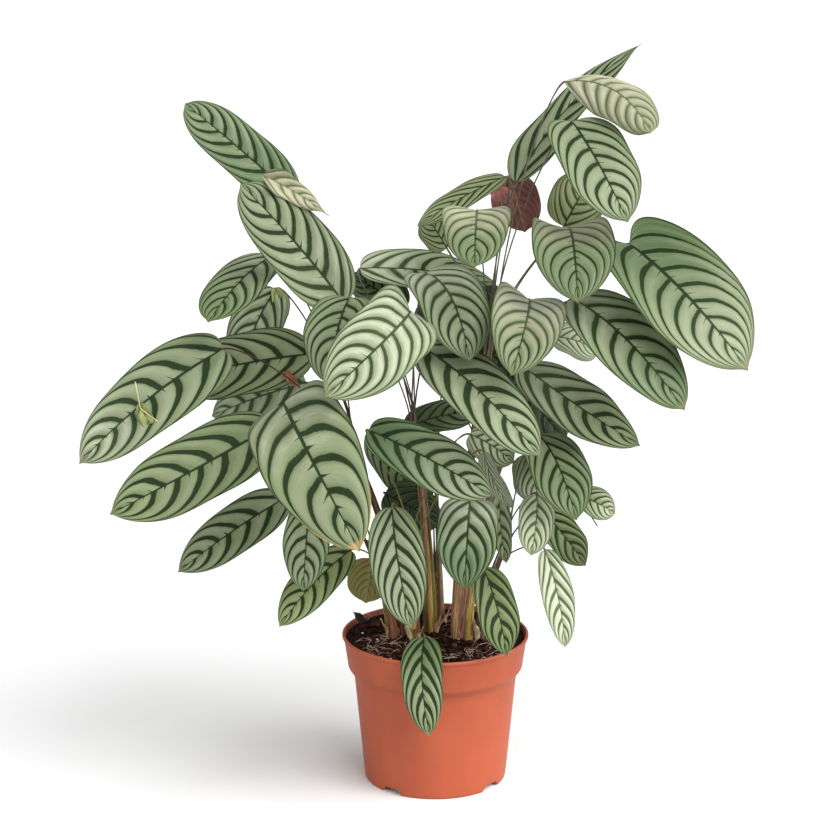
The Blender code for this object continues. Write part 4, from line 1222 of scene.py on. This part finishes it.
# ---------------------------------------------------------------- potting mix

def mix_height(x, y):
    """The mix's surface: a low crown, lumps of three sizes, and a rise round the shoots."""
    reach = np.sqrt(x * x + y * y) / SOIL_EDGE
    lumps = 1.8 * value_noise(x, y, 17.0, 3) + 1.2 * value_noise(x, y, 7.0, 4) + 0.7 * value_noise(x, y, 3.0, 5)
    hump = 2.5 * np.exp(-((x / 34.0) ** 2) - (y / 24.0) ** 2)
    edge = 1.0 - step(0.93, 1.0, reach)
    return SOIL_TOP - 0.5 * reach**4 + (lumps + hump) * edge


def mix_body():
    """The mix as one closed shape: its lumpy top, then down inside the pot's wall and in along the floor."""
    rings = np.linspace(0.0, 1.0, 58)[1:] ** 0.8 * SOIL_EDGE
    top = ring_points(rings, 0.0, SOIL_SIDES)
    top[..., 2] = mix_height(top[..., 0], top[..., 1])
    gap = 0.35
    wall = np.array((
        (COLLAR_FOOT_RADIUS - WALL - gap, COLLAR_Z + WALL / 2.0),
        (WALL_TOP_RADIUS - WALL - gap, COLLAR_Z - 6.6),
        (BASE_RADIUS - WALL - 1.2, FLOOR_TOP + 3.0),
        (BASE_RADIUS - WALL - 4.0, FLOOR_TOP + gap),
    ))
    points = np.concatenate([top, ring_points(wall[:, 0], wall[:, 1:], SOIL_SIDES)]).reshape(-1, 3)
    crown = mix_height(np.zeros(1), np.zeros(1))[0]
    points = np.concatenate([[(0.0, 0.0, crown)], points, [(0.0, 0.0, FLOOR_TOP + gap)]])
    faces = [face[::-1] for face in turned_faces(len(rings) + len(wall) + 2, SOIL_SIDES)]
    return points, faces


def lump_shape():
    """A small round form of 32 faces: an eight-faced form split once and pushed out to a ball."""
    corners = np.array(((1, 0, 0), (0, 1, 0), (-1, 0, 0), (0, -1, 0), (0, 0, 1), (0, 0, -1)), float)
    sides = [(0, 1, 4), (1, 2, 4), (2, 3, 4), (3, 0, 4), (1, 0, 5), (2, 1, 5), (3, 2, 5), (0, 3, 5)]
    points = corners.tolist()
    middles = {}
    faces = []

    def middle(first, second):
        key = (min(first, second), max(first, second))
        if key not in middles:
            middles[key] = len(points)
            points.append(unit((corners[first] + corners[second]) / 2.0).tolist())
        return middles[key]

    for a, b, c in sides:
        ab, bc, ca = middle(a, b), middle(b, c), middle(c, a)
        faces += [(a, ab, ca), (ab, b, bc), (ca, bc, c), (ab, bc, ca)]
    return np.array(points), np.array(faces)


def scattered(count, seed, outer, size_low, size_high, flatness, sink):
    """Lumps strewn over the mix: each is the small form, scaled, roughened, turned and set on the surface."""
    draw = np.random.default_rng(seed)
    shape, faces = lump_shape()
    sizes = draw.uniform(size_low, size_high, count)[:, None]
    scales = sizes * np.stack([draw.uniform(0.6, 1.2, count), draw.uniform(0.6, 1.2, count),
                               draw.uniform(0.6, 1.0, count) * flatness], axis=-1)
    rough = draw.uniform(0.72, 1.28, (count, len(shape), 1))
    points = shape[None] * rough * scales[:, None, :]
    turns = draw.uniform(0.0, math.tau, count)
    tilts = draw.normal(0.0, 0.45, count)
    points = turned_points(points, tilts, 0)
    points = turned_points(points, turns, 2)
    reach = outer * np.sqrt(draw.uniform(0.0, 1.0, count))
    angles = draw.uniform(0.0, math.tau, count)
    x, y = reach * np.cos(angles), reach * np.sin(angles)
    spots = np.stack([x, y, mix_height(x, y) + sink * sizes[:, 0]], axis=-1)
    points = (points + spots[:, None, :]).reshape(-1, 3)
    starts = np.arange(count)[:, None, None] * len(shape)
    return points, (faces[None] + starts).reshape(-1, 3).tolist()


def turned_points(points, angles, axis):
    """Each row of points turned by its own angle about an axis."""
    first, second = (axis + 1) % 3, (axis + 2) % 3
    cos, sin = np.cos(angles)[:, None], np.sin(angles)[:, None]
    result = points.copy()
    result[..., first] = points[..., first] * cos - points[..., second] * sin
    result[..., second] = points[..., first] * sin + points[..., second] * cos
    return result


def fibre_paths(count, seed):
    """Curly fibres: a heading that turns steadily and wanders, walked in equal steps over the mix."""
    draw = np.random.default_rng(seed)
    rows = 11
    clump = draw.choice(3, count, p=(0.32, 0.38, 0.30))
    centres = np.array(((-50.0, -36.0), (24.0, -56.0), (0.0, 0.0)))[clump]
    spread = np.array(((13.0, 14.0), (22.0, 11.0), (42.0, 38.0)))[clump]
    start = centres + draw.normal(0.0, 1.0, (count, 2)) * spread
    curl = draw.normal(0.0, 0.28, (count, 1)) + draw.normal(0.0, 0.30, (count, rows))
    heading = draw.uniform(0.0, math.tau, (count, 1)) + np.cumsum(curl, axis=1)
    stride = draw.uniform(1.0, 2.4, (count, 1))
    x = start[:, :1] + np.cumsum(np.cos(heading) * stride, axis=1)
    y = start[:, 1:] + np.cumsum(np.sin(heading) * stride, axis=1)
    shrink = np.minimum(1.0, (SOIL_EDGE - 3.0) / np.maximum(np.sqrt(x * x + y * y), 1e-6))
    x, y = x * shrink, y * shrink
    arch = np.sin(np.linspace(0.0, math.pi, rows))[None] * draw.uniform(0.3, 3.2, (count, 1))
    return np.stack([x, y, mix_height(x, y) + 0.9 + arch], axis=-1)


def mix_material(name, pattern, dark, light, scale, dullness):
    """Crumbly matter: two browns mixed at two scales, rough, with small deep pits."""
    material, tree, skin = new_material(name)
    shade, fine = use_group(pattern, {"Place": solid_place(tree), "Scale": scale}).values()
    set_skin(skin, blend(rise(shade, 0.42, 0.66), dark, light), rise(fine, 0.3, 0.7, dullness, dullness + 0.2),
             bumped(shade, 0.0016, 0.8), 0.15)
    return material


class FillMix(bpy.types.Operator):
    """Fill the pot with potting mix, clods, bark, curly fibres and perlite"""

    bl_idname = "ctenanthe.mix"
    bl_label = "Potting mix"

    def execute(self, context):
        dark, brown = settings().mix_dark, settings().mix_brown
        skins = {
            "potting_mix": (dark, brown, 220.0, 0.75),
            "mix_crumbs": (dark, brown * 1.3, 160.0, 0.7),
            "bark_chips": ((0.035, 0.015, 0.008), (0.20, 0.09, 0.04), 120.0, 0.65),
            "coir_fibres": ((0.34, 0.18, 0.13), (0.90, 0.72, 0.60), 180.0, 0.6),
            "perlite_grains": ((0.62, 0.60, 0.56), (0.88, 0.87, 0.84), 400.0, 0.7),
        }
        pattern = crumb_pattern()
        skins = {name: (mix_material(name, pattern, *values),) for name, values in skins.items()}
        body = new_piece("potting_mix", *mix_body(), skins["potting_mix"], "potting_mix")
        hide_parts("soil")
        for name, (count, seed, inset, *form) in MIX_LUMPS.items():
            points, faces = scattered(count, seed, SOIL_EDGE - inset, *form)
            new_piece(name, points, faces, skins[name], "potting_mix")
        paths = fibre_paths(FIBRE_COUNT, FIBRE_SEED)
        widths = np.random.default_rng(FIBRE_WIDTH_SEED).uniform(0.14, 0.38, (len(paths), 1))
        taper = 0.45 + 0.55 * np.sin(np.linspace(0.2, math.pi - 0.2, paths.shape[1]))[None]
        points, faces = tubes(paths, widths * taper, 4)
        new_piece("coir_fibres", points, faces, skins["coir_fibres"], "potting_mix")
        return {"FINISHED"}


# ---------------------------------------------------------------- stage

class SetStage(bpy.types.Operator):
    """Lay the plain floor and set the soft light, the white surround and the camera"""

    bl_idname = "ctenanthe.stage"
    bl_label = "Stage"

    def execute(self, context):
        self.lay_floor()
        self.light(context)
        self.place_camera(context)
        context.scene.view_settings.view_transform = "Standard"
        return {"FINISHED"}

    def lay_floor(self):
        """A matt floor that looks nearly white and throws less light back than it shows."""
        material, tree, skin = new_material("studio_floor")
        colour = settings().floor_colour
        bright = blend(speckle(solid_place(tree), 2.0), colour, colour * 0.99)
        set_skin(skin, blend(camera_ray(tree), colour * 0.5, bright), 0.8, None, 0.1)
        reach = FLOOR_REACH / MM
        corners = [(-reach, -reach, 0.0), (reach, -reach, 0.0), (reach, reach, 0.0), (-reach, reach, 0.0)]
        mesh = new_mesh("floor", corners, [(0, 1, 2, 3)])
        mesh.materials.append(material)
        place_object("floor", mesh)

    def light(self, context):
        """Three suns, and a surround that the camera sees as white and that lights more from the front and above."""
        world = bpy.data.worlds.new("studio")
        world.use_nodes = True
        tree = world.node_tree
        x, y, z = parts_of(source(tree, "ShaderNodeTexCoord", "Generated"))
        soft = rise(x * 0.35 + y * -0.60 + z * 0.72, -0.4, 0.8, 0.22, 0.62)
        background = tree.nodes["Background"].inputs
        feed(background["Color"], (1.0, 1.0, 1.0))
        feed(background["Strength"], highest(soft, camera_ray(tree)))
        context.scene.world = world
        for name, (strength, softness, tilt, turn) in LIGHTS.items():
            sun = bpy.data.lights.new(name, "SUN")
            sun.energy = strength
            sun.angle = math.radians(softness)
            place_object(name, sun).rotation_euler = (math.radians(tilt), 0.0, math.radians(turn))

    def place_camera(self, context):
        """A long lens from the front, a little above the crown."""
        camera = bpy.data.cameras.new("front_view")
        camera.lens = CAMERA_LENS
        camera.clip_end = 200.0
        eye = place_object("front_view", camera)
        eye.location = CAMERA_PLACE
        eye.rotation_euler = (CAMERA_TILT, 0.0, 0.0)
        context.scene.camera = eye


class CtenanthePanel(bpy.types.Panel):
    """The steps and values of the potted ctenanthe"""

    bl_idname = "VIEW3D_PT_ctenanthe"
    bl_label = "Ctenanthe"
    bl_space_type = "VIEW_3D"
    bl_region_type = "UI"
    bl_category = "Ctenanthe"

    def draw(self, context):
        for operator in OPERATORS:
            self.layout.operator(operator.bl_idname)
        for name in CtenantheSettings.__annotations__:
            self.layout.prop(context.scene.ctenanthe, name)


OPERATORS = (SetStage, MouldPot, FillMix, GrowShoots, GrowLeaves, DropLitter)
CLASSES = (CtenantheSettings, *OPERATORS, CtenanthePanel)


def register():
    for part in CLASSES:
        bpy.utils.register_class(part)
    bpy.types.Scene.ctenanthe = bpy.props.PointerProperty(type=CtenantheSettings)


def unregister():
    del bpy.types.Scene.ctenanthe
    for part in reversed(CLASSES):
        bpy.utils.unregister_class(part)


def main():
    register()
    bpy.ops.ctenanthe.stage()
    bpy.ops.ctenanthe.pot()
    bpy.ops.ctenanthe.mix()
    bpy.ops.ctenanthe.shoots()
    bpy.ops.ctenanthe.leaves()
    bpy.ops.ctenanthe.litter()


if __name__ == "__main__":
    main()
